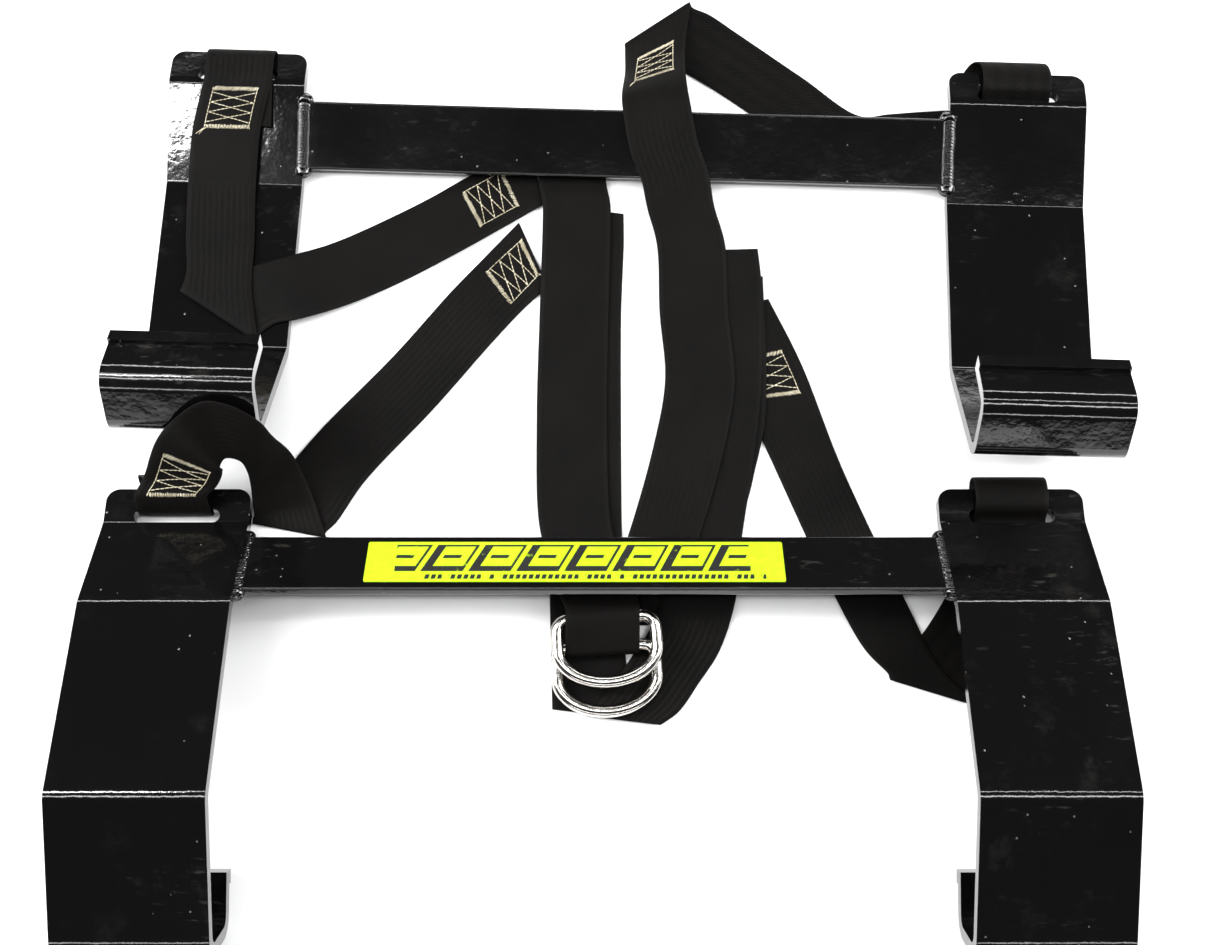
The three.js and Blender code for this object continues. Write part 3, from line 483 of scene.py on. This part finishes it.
def woven(name, bold):
    material, tree, surface = blank(name)
    cloth = add(tree, "ShaderNodeGroup", node_tree=bpy.data.node_groups.get("woven_band") or woven_group())
    cloth.inputs["Bold"].default_value = bold
    tree.links.new(cloth.outputs["Color"], surface.inputs["Base Color"])
    tree.links.new(cloth.outputs["Roughness"], surface.inputs["Roughness"])
    surface.inputs["Specular IOR Level"].default_value = 0.06
    surface.inputs["Sheen Weight"].default_value = 0.015
    surface.inputs["Sheen Roughness"].default_value = 0.4
    surface.inputs["Sheen Tint"].default_value = (0.75, 0.72, 0.68, 1)
    relief = add(tree, "ShaderNodeBump", {"Height": cloth.outputs["Height"], "Distance": 0.00022,
                                          "Strength": 0.55})
    tree.links.new(relief.outputs[0], surface.inputs["Normal"])
    return material


webbing_face, webbing_back = woven("webbing_face", 0.0), woven("webbing_back", 1.0)
WEB_WIDTH, WEB_THICK = 0.0508, 0.0014


def curve_point(points, i, t):
    p1, p2 = points[i], points[i + 1]
    p0 = points[i - 1] if i else p1 * 2 - p2
    p3 = points[i + 2] if i + 2 < len(points) else p2 * 2 - p1
    d0, d1, d2 = ((b - a).length ** 0.5 for a, b in ((p0, p1), (p1, p2), (p2, p3)))
    d1 = max(d1, 1e-6)
    d0, d2 = d0 if d0 > 1e-6 else d1, d2 if d2 > 1e-6 else d1
    m1 = ((p1 - p0) / d0 - (p2 - p0) / (d0 + d1) + (p2 - p1) / d1) * d1
    m2 = ((p2 - p1) / d1 - (p3 - p1) / (d1 + d2) + (p3 - p2) / d2) * d1
    return p1 + m1 * t + (p1 * -3 + p2 * 3 - m1 * 2 - m2) * t ** 2 + (p1 * 2 - p2 * 2 + m1 + m2) * t ** 3


def lay_out(stops):
    """Evenly paired stations down a strap, from paired edge stops given in millimetres."""
    left = [Vector(a) * 0.001 for a, _ in stops]
    right = [Vector(b) * 0.001 for _, b in stops]
    rows = []
    for i in range(len(stops) - 1):
        longest = max((left[i + 1] - left[i]).length, (right[i + 1] - right[i]).length)
        steps = max(4, ceil(longest / 0.0028))
        rows += [(curve_point(left, i, k / steps), curve_point(right, i, k / steps)) for k in range(steps)]
    rows.append((left[-1], right[-1]))
    track, walked = [], 0.0
    for i, (a, b) in enumerate(rows):
        (a0, b0), (a1, b1) = rows[max(i - 1, 0)], rows[min(i + 1, len(rows) - 1)]
        middle = (a + b) / 2
        if i:
            walked += (middle - track[-1][0]).length
        across = (b - a).normalized()
        normal = (a1 + b1 - a0 - b0).cross(across).normalized()
        track.append((middle, across, normal, (b - a).length / 2, walked))
    return track


def strap(name, stops, bold_side=0):
    track = lay_out(stops)
    half_thick = WEB_THICK / 2
    profile = [-0.984 + 1.968 * k / 12 for k in range(13)]
    section = [(share, half_thick * (1 if abs(share) < 0.98 else 0.8)) for share in profile]
    section += [(0.9965, half_thick * 0.4), (1.0, 0), (0.9965, -half_thick * 0.4)]
    section += [(share, -high) for share, high in reversed(section[:13])]
    section += [(-0.9965, -half_thick * 0.4), (-1.0, 0), (-0.9965, half_thick * 0.4)]
    around = len(section)
    verts, faces, charts, kinds = [], [], [], []
    for middle, across, normal, half, _ in track:
        verts += [middle + across * (share * half) + normal * high for share, high in section]
    for i in range(len(track) - 1):
        for k in range(around):
            j = (k + 1) % around
            faces.append((i * around + k, (i + 1) * around + k, (i + 1) * around + j, i * around + j))
            low, high = track[i][4], track[i + 1][4]
            a, b = section[k][0] * WEB_WIDTH / 2, section[j][0] * WEB_WIDTH / 2
            charts += [(a, low), (a, high), (b, high), (b, low)]
            up = section[k][1] + section[j][1]
            kinds.append(1 if up * bold_side > 0 else 0)
    end = (len(track) - 1) * around
    faces += [tuple(range(around)), tuple(end + k for k in reversed(range(around)))]
    for row, ring in ((0, range(around)), (-1, reversed(range(around)))):
        charts += [(section[k][0] * WEB_WIDTH / 2, track[row][4] + section[k][1]) for k in ring]
    kinds += [0, 0]
    mesh = bpy.data.meshes.new(name)
    mesh.from_pydata([tuple(v) for v in verts], [], faces)
    mesh.materials.append(webbing_face)
    mesh.materials.append(webbing_back)
    chart = mesh.uv_layers.new(name="UVMap")
    for corner, uv in zip(chart.data, charts):
        corner.uv = uv
    for face, kind in zip(mesh.polygons, kinds):
        face.material_index = kind
    obj = bpy.data.objects.new(name, mesh)
    scene.collection.objects.link(obj)
    bpy.ops.object.select_all(action="DESELECT")
    bpy.context.view_layer.objects.active = obj
    obj.select_set(True)
    bpy.ops.object.mode_set(mode="EDIT")
    bpy.ops.mesh.select_all(action="SELECT")
    bpy.ops.mesh.normals_make_consistent(inside=False)
    bpy.ops.object.mode_set(mode="OBJECT")
    bpy.ops.object.shade_smooth_by_angle(angle=radians(60))
    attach(obj, far)
    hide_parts(name.removesuffix("_band"))
    return obj, track


def settled(point):
    """A stop kept to a tenth of a millimetre, and to a hundredth in height, where plies lie on plies."""
    return Vector((round(point.x, 1), round(point.y, 1), round(point.z, 2)))


def spread(run):
    return [tuple(settled(Vector(stop) + LAID) for stop in pair) for pair in run]


def eye_loop(place, up, x, stops):
    """A loop through a slot, seen from the side: back from the tab's end, off its middle, and drift."""
    lean = HEADINGS[0]
    loop = []
    for back, off, *drift in stops:
        point = tab_end * 1000 + Vector((0, -cos(lean), sin(lean))) * back
        point += Vector((0, sin(lean), cos(lean))) * (up * off)
        ends = [point + Vector((x + sum(drift) + way * up * WEB_WIDTH * 500, 0, 0)) for way in (-1, 1)]
        loop.append(tuple(settled((place @ (end * 0.001)) * 1000) for end in ends))
    return loop


def tail_beside(run, picks, distance):
    """The sewn-back tail of an eye: places on the run, moved off its own face."""
    edges = [[Vector(pair[side]) for pair in run] for side in (0, 1)]
    tail = []
    for i, t in picks:
        ahead = Vector()
        for edge in edges:
            ahead += curve_point(edge, i, t + 0.25) - curve_point(edge, i, max(t - 0.25, 0))
        a, b = (curve_point(edge, i, t) for edge in edges)
        off = ahead.cross(b - a).normalized() * distance
        tail.append((settled(a + off + LAID), settled(b + off + LAID)))
    return tail


upper_left_sling_edges = eye_loop(upper_place, 1, -290.2, [
    (58, -8.2), (40, 0.2), (30, 4.6), (23, 5.2), (18.8, 2.4), (17.3, -1), (16.2, -4.8), (12.8, -8.4),
    (7.5, -9.8), (2.2, -8.2), (-1.3, -4.4), (-2.4, 0), (-1, 5), (2.4, 9), (7.5, 10.6), (16, 9.8),
    (25.5, 8.4),
]) + spread([
    ((-309.5, 259.8, 24.2), (-258.8, 258.2, 24.2)), ((-311.9, 235, 16.4), (-261.2, 232.6, 16.4)),
    ((-312.9, 221.3, 12.2), (-262.2, 218.8, 12.2)), ((-311.4, 176.9, 11.2), (-260.6, 176.9, 11.2)),
    ((-309.1, 151.2, 11.2), (-260.2, 137.5, 11.2)), ((-311.6, 138.6, 11.2), (-254.2, 100.2, 11.2)),
    ((-313.1, 136, 10.25), (-254.9, 97, 10.25)), ((-311.1, 137.4, 9.3), (-253.1, 101.3, 9.3)),
    ((-273.6, 151.6, 9.3), (-242.5, 110, 9.3)), ((-233.8, 164, 9.8), (-224.3, 113.9, 9.8)),
    ((-205.3, 176, 4.5), (-189.5, 127.7, 4.5)), ((-177.5, 190.8, 1.1), (-153, 146.3, 1.1)),
    ((-134.2, 214.3, 1.1), (-113.4, 167.9, 2.8)), ((-105.4, 232.2, 1.4), (-81.7, 187.2, 2.9)),
    ((-62, 257, 1.1), (-45, 211, 1.6)),
])
upper_left = strap("upper_left_sling_band", upper_left_sling_edges, 0)

lower_left_rise = [
    ((-320.9, -14.1, 35.1), (-270.4, -19.4, 31.9)), ((-306.2, 4.4, 62.2), (-265.1, -12.6, 39.8)),
    ((-286, 13.6, 87), (-265, -10, 48)), ((-267, 20.8, 96.2), (-260.5, -5.5, 52.6)),
    ((-248.4, 17.8, 95), (-251.5, -6.5, 50.4)), ((-232.5, 11, 84.5), (-248.5, -10.3, 40)),
    ((-226.8, 7, 64), (-248, -19, 25.5)), ((-218.8, 3, 30), (-249, -27.6, 12.5)),
    ((-207.2, -22.3, 7), (-249.3, -33.5, 5.2)), ((-199, -45.4, 2.9), (-250.7, -35.2, 2.9)),
    ((-198.3, -48, 1.95), (-250.7, -37.8, 1.95)), ((-199.3, -45.6, 1), (-249.9, -35.4, 1)),
    ((-191.5, -37, 1), (-231.8, -2.7, 1)), ((-173.2, -7.6, 1), (-208.1, 29.6, 1)),
    ((-123.7, 49.5, 1), (-154.2, 90.4, 1)), ((-85.4, 97.2, 1), (-116.2, 137.8, 1)),
    ((-62, 124.5, 1), (-91.4, 166.2, 1)), ((-43.5, 143, 1), (-66, 195, 1)),
]
lower_left_sling_edges = tail_beside(lower_left_rise, ((1, 0.25), (0, 0.5), (0, 0)), 1.8)
lower_left_sling_edges += eye_loop(lower_place, -1, 294, [
    (-6, 14), (-2.6, 7), (-2.2, 0), (-0.8, -4.9), (2.6, -8.4), (7.5, -9.7), (12.6, -8.2), (16.3, -4.6),
    (17.5, 0), (16.8, 5), (14.8, 10), (10.5, 17),
]) + spread(lower_left_rise)
lower_left = strap("lower_left_sling_band", lower_left_sling_edges, 0)

upper_right_sling_edges = eye_loop(upper_place, 1, 291.2, [
    (50, -18.4, -2), (38, -12.6, -1), (27, -6.8), (20.6, -2), (18, 2.4), (15.6, 6.4), (11, 9), (2, 9.8),
    (-7, 7.2, -2), (-11.3, 0.4, -6), (-7.4, -7.2, -11), (2, -11.6, -14),
]) + spread([
    ((267.2, 282, 11.2), (317.6, 293, 12)), ((267.2, 256, 7.4), (317.8, 289.5, 10.6)),
    ((267.2, 236.5, 5), (318, 287.3, 9.6)), ((265.6, 234.8, 4.05), (316.4, 285.6, 8.65)),
    ((265.2, 236.5, 3.1), (316, 287.3, 7.7)), ((246, 236.5, 1.8), (262, 287.5, 3.4)),
    ((228, 236, 1.1), (236, 287, 1.2)), ((205, 236, 1), (216, 285.5, 1)), ((167, 238, 1), (193, 284, 1)),
    ((112.4, 282.8, 1), (150.3, 316.9, 1)), ((72.5, 312.8, 1), (100.2, 356.2, 1)),
    ((41.3, 332.5, 1), (79.3, 372.3, 1)), ((16.3, 342.7, 1), (66.4, 378.9, 1)),
    ((13.9, 345.6, 1.95), (64.9, 382.7, 1.95)), ((13.9, 340.7, 2.9), (64.7, 376.8, 2.9)),
    ((13.8, 315.6, 12), (60.1, 339.3, 10)), ((11.1, 282.9, 29.4), (59.9, 297.1, 28.4)),
    ((12.9, 266.5, 27.6), (62.6, 276.5, 30.3)), ((18, 242, 19.6), (67.8, 251.5, 22.4)),
    ((25.3, 224.6, 14.2), (76, 227.8, 15.2)), ((30, 203, 8.8), (80, 205, 8.8)),
    ((37, 174, 7.4), (87.5, 175, 7.4)), ((38.5, 120, 7.3), (89, 120, 7.3)),
    ((42, 68, 7.3), (92.5, 66, 7.3)), ((33.5, 19, 6.8), (84, 17, 6.8)),
    ((14.5, -48.7, 4.9), (65, -48.7, 4.9)), ((2, -82, 4.7), (51.5, -85, 4.7)),
])
upper_right = strap("upper_right_sling_band", upper_right_sling_edges, -1)

lower_right_sling_edges = eye_loop(lower_place, -1, -292, [
    (66, -12.6), (44, -9.9), (30, -8), (20.4, -3), (17.8, 1), (16.5, 4.8), (13.6, 8), (8.6, 9.9), (2, 10.2),
    (-4.6, 8.6), (-9, 2.6), (-8.6, -4.6), (-1.4, -9.2), (7.5, -9.7),
]) + spread([
    ((253, -50, 1), (303.6, -55, 1)), ((245, -75, 1), (294, -88, 1)), ((222, -113, 1), (268, -132, 1)),
    ((194.4, -145.1, 1), (248.4, -161.7, 1)), ((194.7, -148.7, 1.95), (248, -165.2, 1.95)),
    ((194, -146.1, 2.9), (248, -162.6, 2.9)), ((178.4, -128.5, 2.4), (228.8, -139.2, 2.4)),
    ((158.7, -89.6, 1.2), (209, -95, 1.2)), ((118, 7.9, 1), (168.5, 2.1, 1)),
    ((92, 72, 1), (141.5, 83, 1)), ((69.7, 121.9, 1), (119.3, 133.1, 1)),
])
lower_right = strap("lower_right_sling_band", lower_right_sling_edges, 1)

# ---- Ring strap --------------------------------------------------------------------------------
# The same webbing again. It comes out from under the far crossbar, lies on its own spare length and
# is doubled round the straight sides of both D-rings.
RING_YAW = radians(4)
RING_MIDDLE = -1.2
TOP_PIVOT, BOTTOM_PIVOT = (-109, 18.5), (-127.6, 9.7)
ROUND_WIRE = 5.6
ring_run_stops = [
    ((-51.4, 240, 3.6), (-0.6, 240, 3.6)), ((-51.4, 227, 3.9), (-0.6, 227, 3.9)),
    ((-48.3, 209, 4.4), (2.5, 209, 4.4)), ((-48, 195, 4.4), (2.8, 195, 4.4)),
    ((-49.5, 120.7, 2.8), (1.3, 120.7, 2.8)), ((-50.6, 39.4, 2.8), (0.2, 39.4, 2.8)),
    ((-47.8, -40, 4.8), (3, -40, 4.8)), ((-40, -68, 8), (10.8, -68, 8)),
    ((-33, -92, 17.6), (17.8, -92, 17.6)),
]
loop = [(-103, 22.9), (TOP_PIVOT[0], TOP_PIVOT[1] + ROUND_WIRE)]
for turn in (112, 134, 156, 178, 200, 222, 246, 270):
    loop.append((BOTTOM_PIVOT[0] + ROUND_WIRE * cos(radians(turn)),
                 BOTTOM_PIVOT[1] + ROUND_WIRE * sin(radians(turn))))
loop += [(-120, 5.4), (-109, 9.5), (-98, 11.2), (-84, 9.8), (-76, 8.6)]
reach = (WEB_WIDTH * 500 * cos(RING_YAW), WEB_WIDTH * 500 * sin(RING_YAW))
for y, z in loop:
    x = -3.0 - 0.2 * max(y + 100, 0)
    ring_run_stops.append(((x - reach[0], y - reach[1], z), (x + reach[0], y + reach[1], z)))
ring_strap_edges = spread(ring_run_stops)
ring_run = strap("ring_strap_band", ring_strap_edges, 0)

# ---- Spare lengths -----------------------------------------------------------------------------
# Three flat lengths of webbing in the bundle: one under the ring strap, and two side by side under the
# sling that comes off the far crossbar, the upper one swinging across below the rings.
left_back_strap_edges = spread([
    ((-39.1, 207.7, 1), (12.5, 201.9, 1)), ((-38.5, 179, 1), (12.6, 179, 1)),
    ((-40.5, 121.3, 1), (10.5, 121.3, 1)), ((-40.8, 40, 1), (10.2, 40, 1)),
    ((-40.3, -47.8, 1), (10.6, -47.8, 1)), ((-40, -88.1, 1), (11.5, -88.1, 1)),
    ((-37.5, -169.5, 1), (14.5, -175.5, 1)),
])
left_back = strap("left_back_strap_band", left_back_strap_edges, 0)

right_front_strap_edges = spread([
    ((60.5, 169.5, 5.4), (112, 171.5, 5.4)), ((63, 142.1, 5.4), (114, 142.1, 5.4)),
    ((62, 71.5, 5.4), (112.6, 71.5, 5.4)), ((57.8, 38.4, 5.1), (108.6, 34.9, 5.1)),
    ((50.5, -10, 3.6), (101, -14, 3.6)), ((44, -49, 2.9), (94.5, -53, 2.9)),
    ((39.5, -86, 2.8), (89.6, -94, 2.8)), ((30, -113, 2.8), (78, -129, 2.8)),
    ((18, -132, 2.8), (63, -152, 2.8)), ((2, -155, 2.8), (49, -171.5, 2.8)),
    ((-14, -174.2, 2.8), (36.8, -180.4, 2.8)),
])
right_front = strap("right_front_strap_band", right_front_strap_edges, 0)

right_back_strap_edges = spread([
    ((64.5, 150, 3.5), (115.3, 150, 3.5)), ((65, 71, 3.5), (115.8, 71, 3.5)),
    ((62.5, 38, 3.2), (113.3, 34, 3.2)), ((54.5, 2, 1.8), (105, -2, 1.8)),
    ((51, -12, 1.2), (101.5, -16, 1.2)), ((37, -52, 1), (87.5, -57, 1)), ((23, -84, 1), (73.4, -90, 1)),
    ((18.4, -111, 1), (69.2, -111, 1)),
])
right_back = strap("right_back_strap_band", right_back_strap_edges, 0)

# ---- Sewn boxes --------------------------------------------------------------------------------
# Cream bonded thread, 0.7 mm thick. Each join is a box 31 to 34 mm across: a dense satin-stitched
# band over either end, one straight row down each side, and two zigzags crossing between them.
thread, tree, surface = blank("thread")
where = add(tree, "ShaderNodeTexCoord").outputs["Object"]
strand = add(tree, "ShaderNodeTexNoise", {"Vector": where, "Scale": 1300.0, "Detail": 3.0}).outputs[0]
grime = add(tree, "ShaderNodeTexNoise", {"Vector": where, "Scale": 120.0, "Detail": 4.0}).outputs[0]
shade = mixed(tree, ramp(tree, grime, 0.35, 0.65), (0.42, 0.37, 0.25, 1), (0.80, 0.74, 0.57, 1))
shade = mixed(tree, ramp(tree, strand, 0.35, 0.6), (0.34, 0.30, 0.20, 1), shade)
tree.links.new(shade, surface.inputs["Base Color"])
tree.links.new(ramp(tree, strand, 0.3, 0.7, 0.6, 0.85), surface.inputs["Roughness"])
twist = add(tree, "ShaderNodeBump", {"Height": strand, "Distance": 0.0002, "Strength": 0.6})
tree.links.new(twist.outputs[0], surface.inputs["Normal"])


def stitched(name, track, near_point, along, across, seed, loose_end=0):
    rng = random.Random(seed)
    near_point = Vector(near_point) * 0.001
    at = min(range(len(track)), key=lambda i: (track[i][0] - near_point).length)
    start = track[at][4]
    face = copysign(1, track[at][2].z)

    def on_band(a, c, lift):
        walked = min(max(start + a, 0.0), track[-1][4] - 1e-6)
        i = next(k for k in range(len(track) - 1) if track[k + 1][4] >= walked)
        share = (walked - track[i][4]) / max(track[i + 1][4] - track[i][4], 1e-9)
        middle = track[i][0].lerp(track[i + 1][0], share)
        side = track[i][1].lerp(track[i + 1][1], share).normalized()
        normal = track[i][2].lerp(track[i + 1][2], share).normalized() * face
        return middle + side * c + normal * (WEB_THICK / 2 + lift), normal

    verts, faces = [], []

    def stitch(a0, c0, a1, c1, wide=0.00034):
        stations, sides = 6, 6
        base = len(verts)
        for k in range(stations):
            t = k / (stations - 1)
            rise = sin(pi * t) ** 0.5 if 0 < k < stations - 1 else 0
            spot, up = on_band(a0 + (a1 - a0) * t, c0 + (c1 - c0) * t, -0.0001 + 0.00038 * rise)
            ahead, _ = on_band(a0 + (a1 - a0) * (t + 0.1), c0 + (c1 - c0) * (t + 0.1), 0)
            behind, _ = on_band(a0 + (a1 - a0) * (t - 0.1), c0 + (c1 - c0) * (t - 0.1), 0)
            sideways = (ahead - behind).normalized().cross(up).normalized()
            thick = wide * (0.55 + 0.45 * rise)
            for s in range(sides):
                turn = 2 * pi * s / sides
                verts.append(spot + sideways * (thick * cos(turn)) + up * (thick * 0.75 * sin(turn)))
        for k in range(stations - 1):
            for s in range(sides):
                n = (s + 1) % sides
                faces.append((base + k * sides + s, base + k * sides + n,
                              base + (k + 1) * sides + n, base + (k + 1) * sides + s))
        faces.append(tuple(base + s for s in reversed(range(sides))))
        faces.append(tuple(base + (stations - 1) * sides + s for s in range(sides)))

    def row(points, pitch, shake=0.00012):
        for (a0, c0), (a1, c1) in zip(points, points[1:]):
            count = max(1, round(hypot(a1 - a0, c1 - c0) / pitch))
            for k in range(count):
                t0, t1 = (k + 0.04) / count, (k + 0.96) / count
                da, dc = rng.uniform(-shake, shake), rng.uniform(-shake, shake)
                stitch(a0 + (a1 - a0) * t0 + da, c0 + (c1 - c0) * t0 + dc,
                       a0 + (a1 - a0) * t1 - dc, c0 + (c1 - c0) * t1 + da)

    half_a, half_c = along / 2, across / 2
    for side in (-1, 1):
        row([(-half_a, side * half_c), (half_a, side * half_c)], 0.0029)
        count = round(across / 0.00112)
        for k in range(count):
            c = -half_c + across * (k + 0.5) / count + rng.uniform(-1, 1) * 0.00012
            inner = half_a - 0.0026 + rng.uniform(-1, 1) * 0.0004
            outer_ = half_a + 0.0005 + rng.uniform(-1, 1) * 0.0003
            stitch(side * inner, c, side * outer_, c + 0.0014, 0.00031)
    reach = half_a - 0.0042
    for first in (-1, 1):
        zig = [(-reach + 2 * reach * k / 3, half_c * 0.96 * (first if k % 2 else -first)) for k in range(4)]
        row(zig, 0.0031)
    for k in range(loose_end):
        a, c = side * half_a, -half_c
        stitch(a, c + 0.0006 * k, a + 0.004 + rng.uniform(0, 0.002), c - 0.003 - rng.uniform(0, 0.003),
               0.00022)
    mesh = bpy.data.meshes.new(name)
    mesh.from_pydata([tuple(v) for v in verts], [], faces)
    mesh.materials.append(thread)
    obj = bpy.data.objects.new(name, mesh)
    scene.collection.objects.link(obj)
    bpy.ops.object.select_all(action="DESELECT")
    bpy.context.view_layer.objects.active = obj
    obj.select_set(True)
    bpy.ops.object.mode_set(mode="EDIT")
    bpy.ops.mesh.select_all(action="SELECT")
    bpy.ops.mesh.normals_make_consistent(inside=False)
    bpy.ops.object.mode_set(mode="OBJECT")
    bpy.ops.object.shade_smooth()
    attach(obj, far)
    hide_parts(name.removesuffix("_thread"))
    return obj


sewn = {}
for name, (_, track), near_point, along, across, loose_end in (
        ("upper_left_eye_stitching", upper_left, (-288.2, 250.7, 29.1), 0.031, 0.033, 4),
        ("upper_left_end_stitching", upper_left, (-89.6, 185.3, 2.6), 0.034, 0.031, 0),
        ("lower_left_eye_stitching", lower_left, (-297.2, -44.3, 39.6), 0.031, 0.033, 0),
        ("lower_left_end_stitching", lower_left, (-73.9, 130.3, 1.1), 0.034, 0.031, 3),
        ("upper_right_end_stitching", upper_right, (29.8, 293.7, 12.1), 0.034, 0.031, 2),
        ("lower_right_end_stitching", lower_right, (112.8, 45.7, 1.1), 0.034, 0.031, 3)):
    sewn[name] = stitched(name + "_thread", track, near_point, along, across, len(sewn) + 5, loose_end)

for (obj, track), held, rests_on, sewing in (
        (upper_left, "folded", ["upper_left_bracket_plate", "floor"],
         ["upper_left_eye_stitching", "upper_left_end_stitching"]),
        (lower_left, "folded", ["lower_left_bracket_plate", "floor"],
         ["lower_left_eye_stitching", "lower_left_end_stitching"]),
        (upper_right, "folded", ["upper_right_bracket_plate", "upper_crossbar_bar", "floor"],
         ["upper_right_end_stitching"]),
        (lower_right, "folded", ["lower_right_bracket_plate", "floor"], ["lower_right_end_stitching"]),
        (ring_run, "folded", ["left_back_strap_band", "top_d_ring_wire", "bottom_d_ring_wire"], []),
        (left_back, "laid", ["floor"], []),
        (right_front, "laid", ["right_back_strap_band", "floor"], []),
        (right_back, "laid", ["floor"], [])):
    [sewn[s] for s in sewing]
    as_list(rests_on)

# ---- Two D-rings -------------------------------------------------------------------------------
# Bent from round wire about 8.5 mm thick, butt welded, nickel plated and polished, with fine scratches
# left in the shine. The straight side of each turns in the loop of the ring strap.
nickel, tree, surface = blank("nickel")
where = add(tree, "ShaderNodeTexCoord").outputs["Object"]
dull = add(tree, "ShaderNodeTexNoise", {"Vector": where, "Scale": 90.0, "Detail": 4.0}).outputs[0]
lines = add(tree, "ShaderNodeMapping",
            {"Vector": where, "Rotation": (0.3, 0.2, 0.5), "Scale": (300, 2600, 900)})
scratch = add(tree, "ShaderNodeTexNoise",
              {"Vector": lines.outputs[0], "Scale": 1.0, "Detail": 3.0}).outputs[0]
tree.links.new(mixed(tree, dull, (0.50, 0.46, 0.41, 1), (0.72, 0.71, 0.69, 1)), surface.inputs["Base Color"])
tree.links.new(math(tree, "ADD", ramp(tree, dull, 0.3, 0.7, 0.09, 0.2),
                    ramp(tree, scratch, 0.6, 0.7, 0.0, 0.14)), surface.inputs["Roughness"])
surface.inputs["Metallic"].default_value = 1.0
marks = add(tree, "ShaderNodeBump", {"Height": scratch, "Distance": 0.00006, "Strength": 0.4})
tree.links.new(marks.outputs[0], surface.inputs["Normal"])
WIRE = 0.0043
half, arms, depth, corner = 0.0341, 0.021, 0.0442, 0.009
for name, pivot, drop, body in (("top_d_ring", TOP_PIVOT, 0.0013, "top_ring"),
                                ("bottom_d_ring", BOTTOM_PIVOT, 0.0018, "bottom_ring")):
    line = [(-half + corner + (half - corner) * k / 8, 0) for k in range(17)]
    line += [(half - corner + corner * sin(k * pi / 16), -corner + corner * cos(k * pi / 16))
             for k in range(1, 9)]
    line += [(half, -corner - (arms - corner) * k / 5) for k in range(1, 5)]
    line += [(half * cos(k * pi / 48), -arms - (depth - arms) * sin(k * pi / 48)) for k in range(49)]
    line += [(-half, -arms + (arms - corner) * k / 5) for k in range(1, 6)]
    line += [(-half + corner - corner * cos(k * pi / 16), -corner + corner * sin(k * pi / 16))
             for k in range(1, 8)]
    wire = bpy.data.curves.new(name, "CURVE")
    wire.dimensions, wire.bevel_depth, wire.bevel_resolution = "3D", WIRE, 8
    spline = wire.splines.new("POLY")
    spline.points.add(len(line) - 1)
    spline.use_cyclic_u = True
    for point, (x, y) in zip(spline.points, line):
        point.co = (x, y, 0, 1)
    ring = bpy.data.objects.new(name, wire)
    scene.collection.objects.link(ring)
    bpy.ops.object.select_all(action="DESELECT")
    bpy.context.view_layer.objects.active = ring
    ring.select_set(True)
    bpy.ops.object.convert(target="MESH")
    ring = bpy.context.object
    spot = (Vector((RING_MIDDLE, *pivot)) + LAID) * 0.001
    place = Matrix.Translation(spot) @ Matrix.Rotation(RING_YAW, 4, "Z") \
        @ Matrix.Rotation(atan2(drop, depth), 4, "X")
    finished(ring, name + "_wire", place, nickel, body, [name], angle=60)
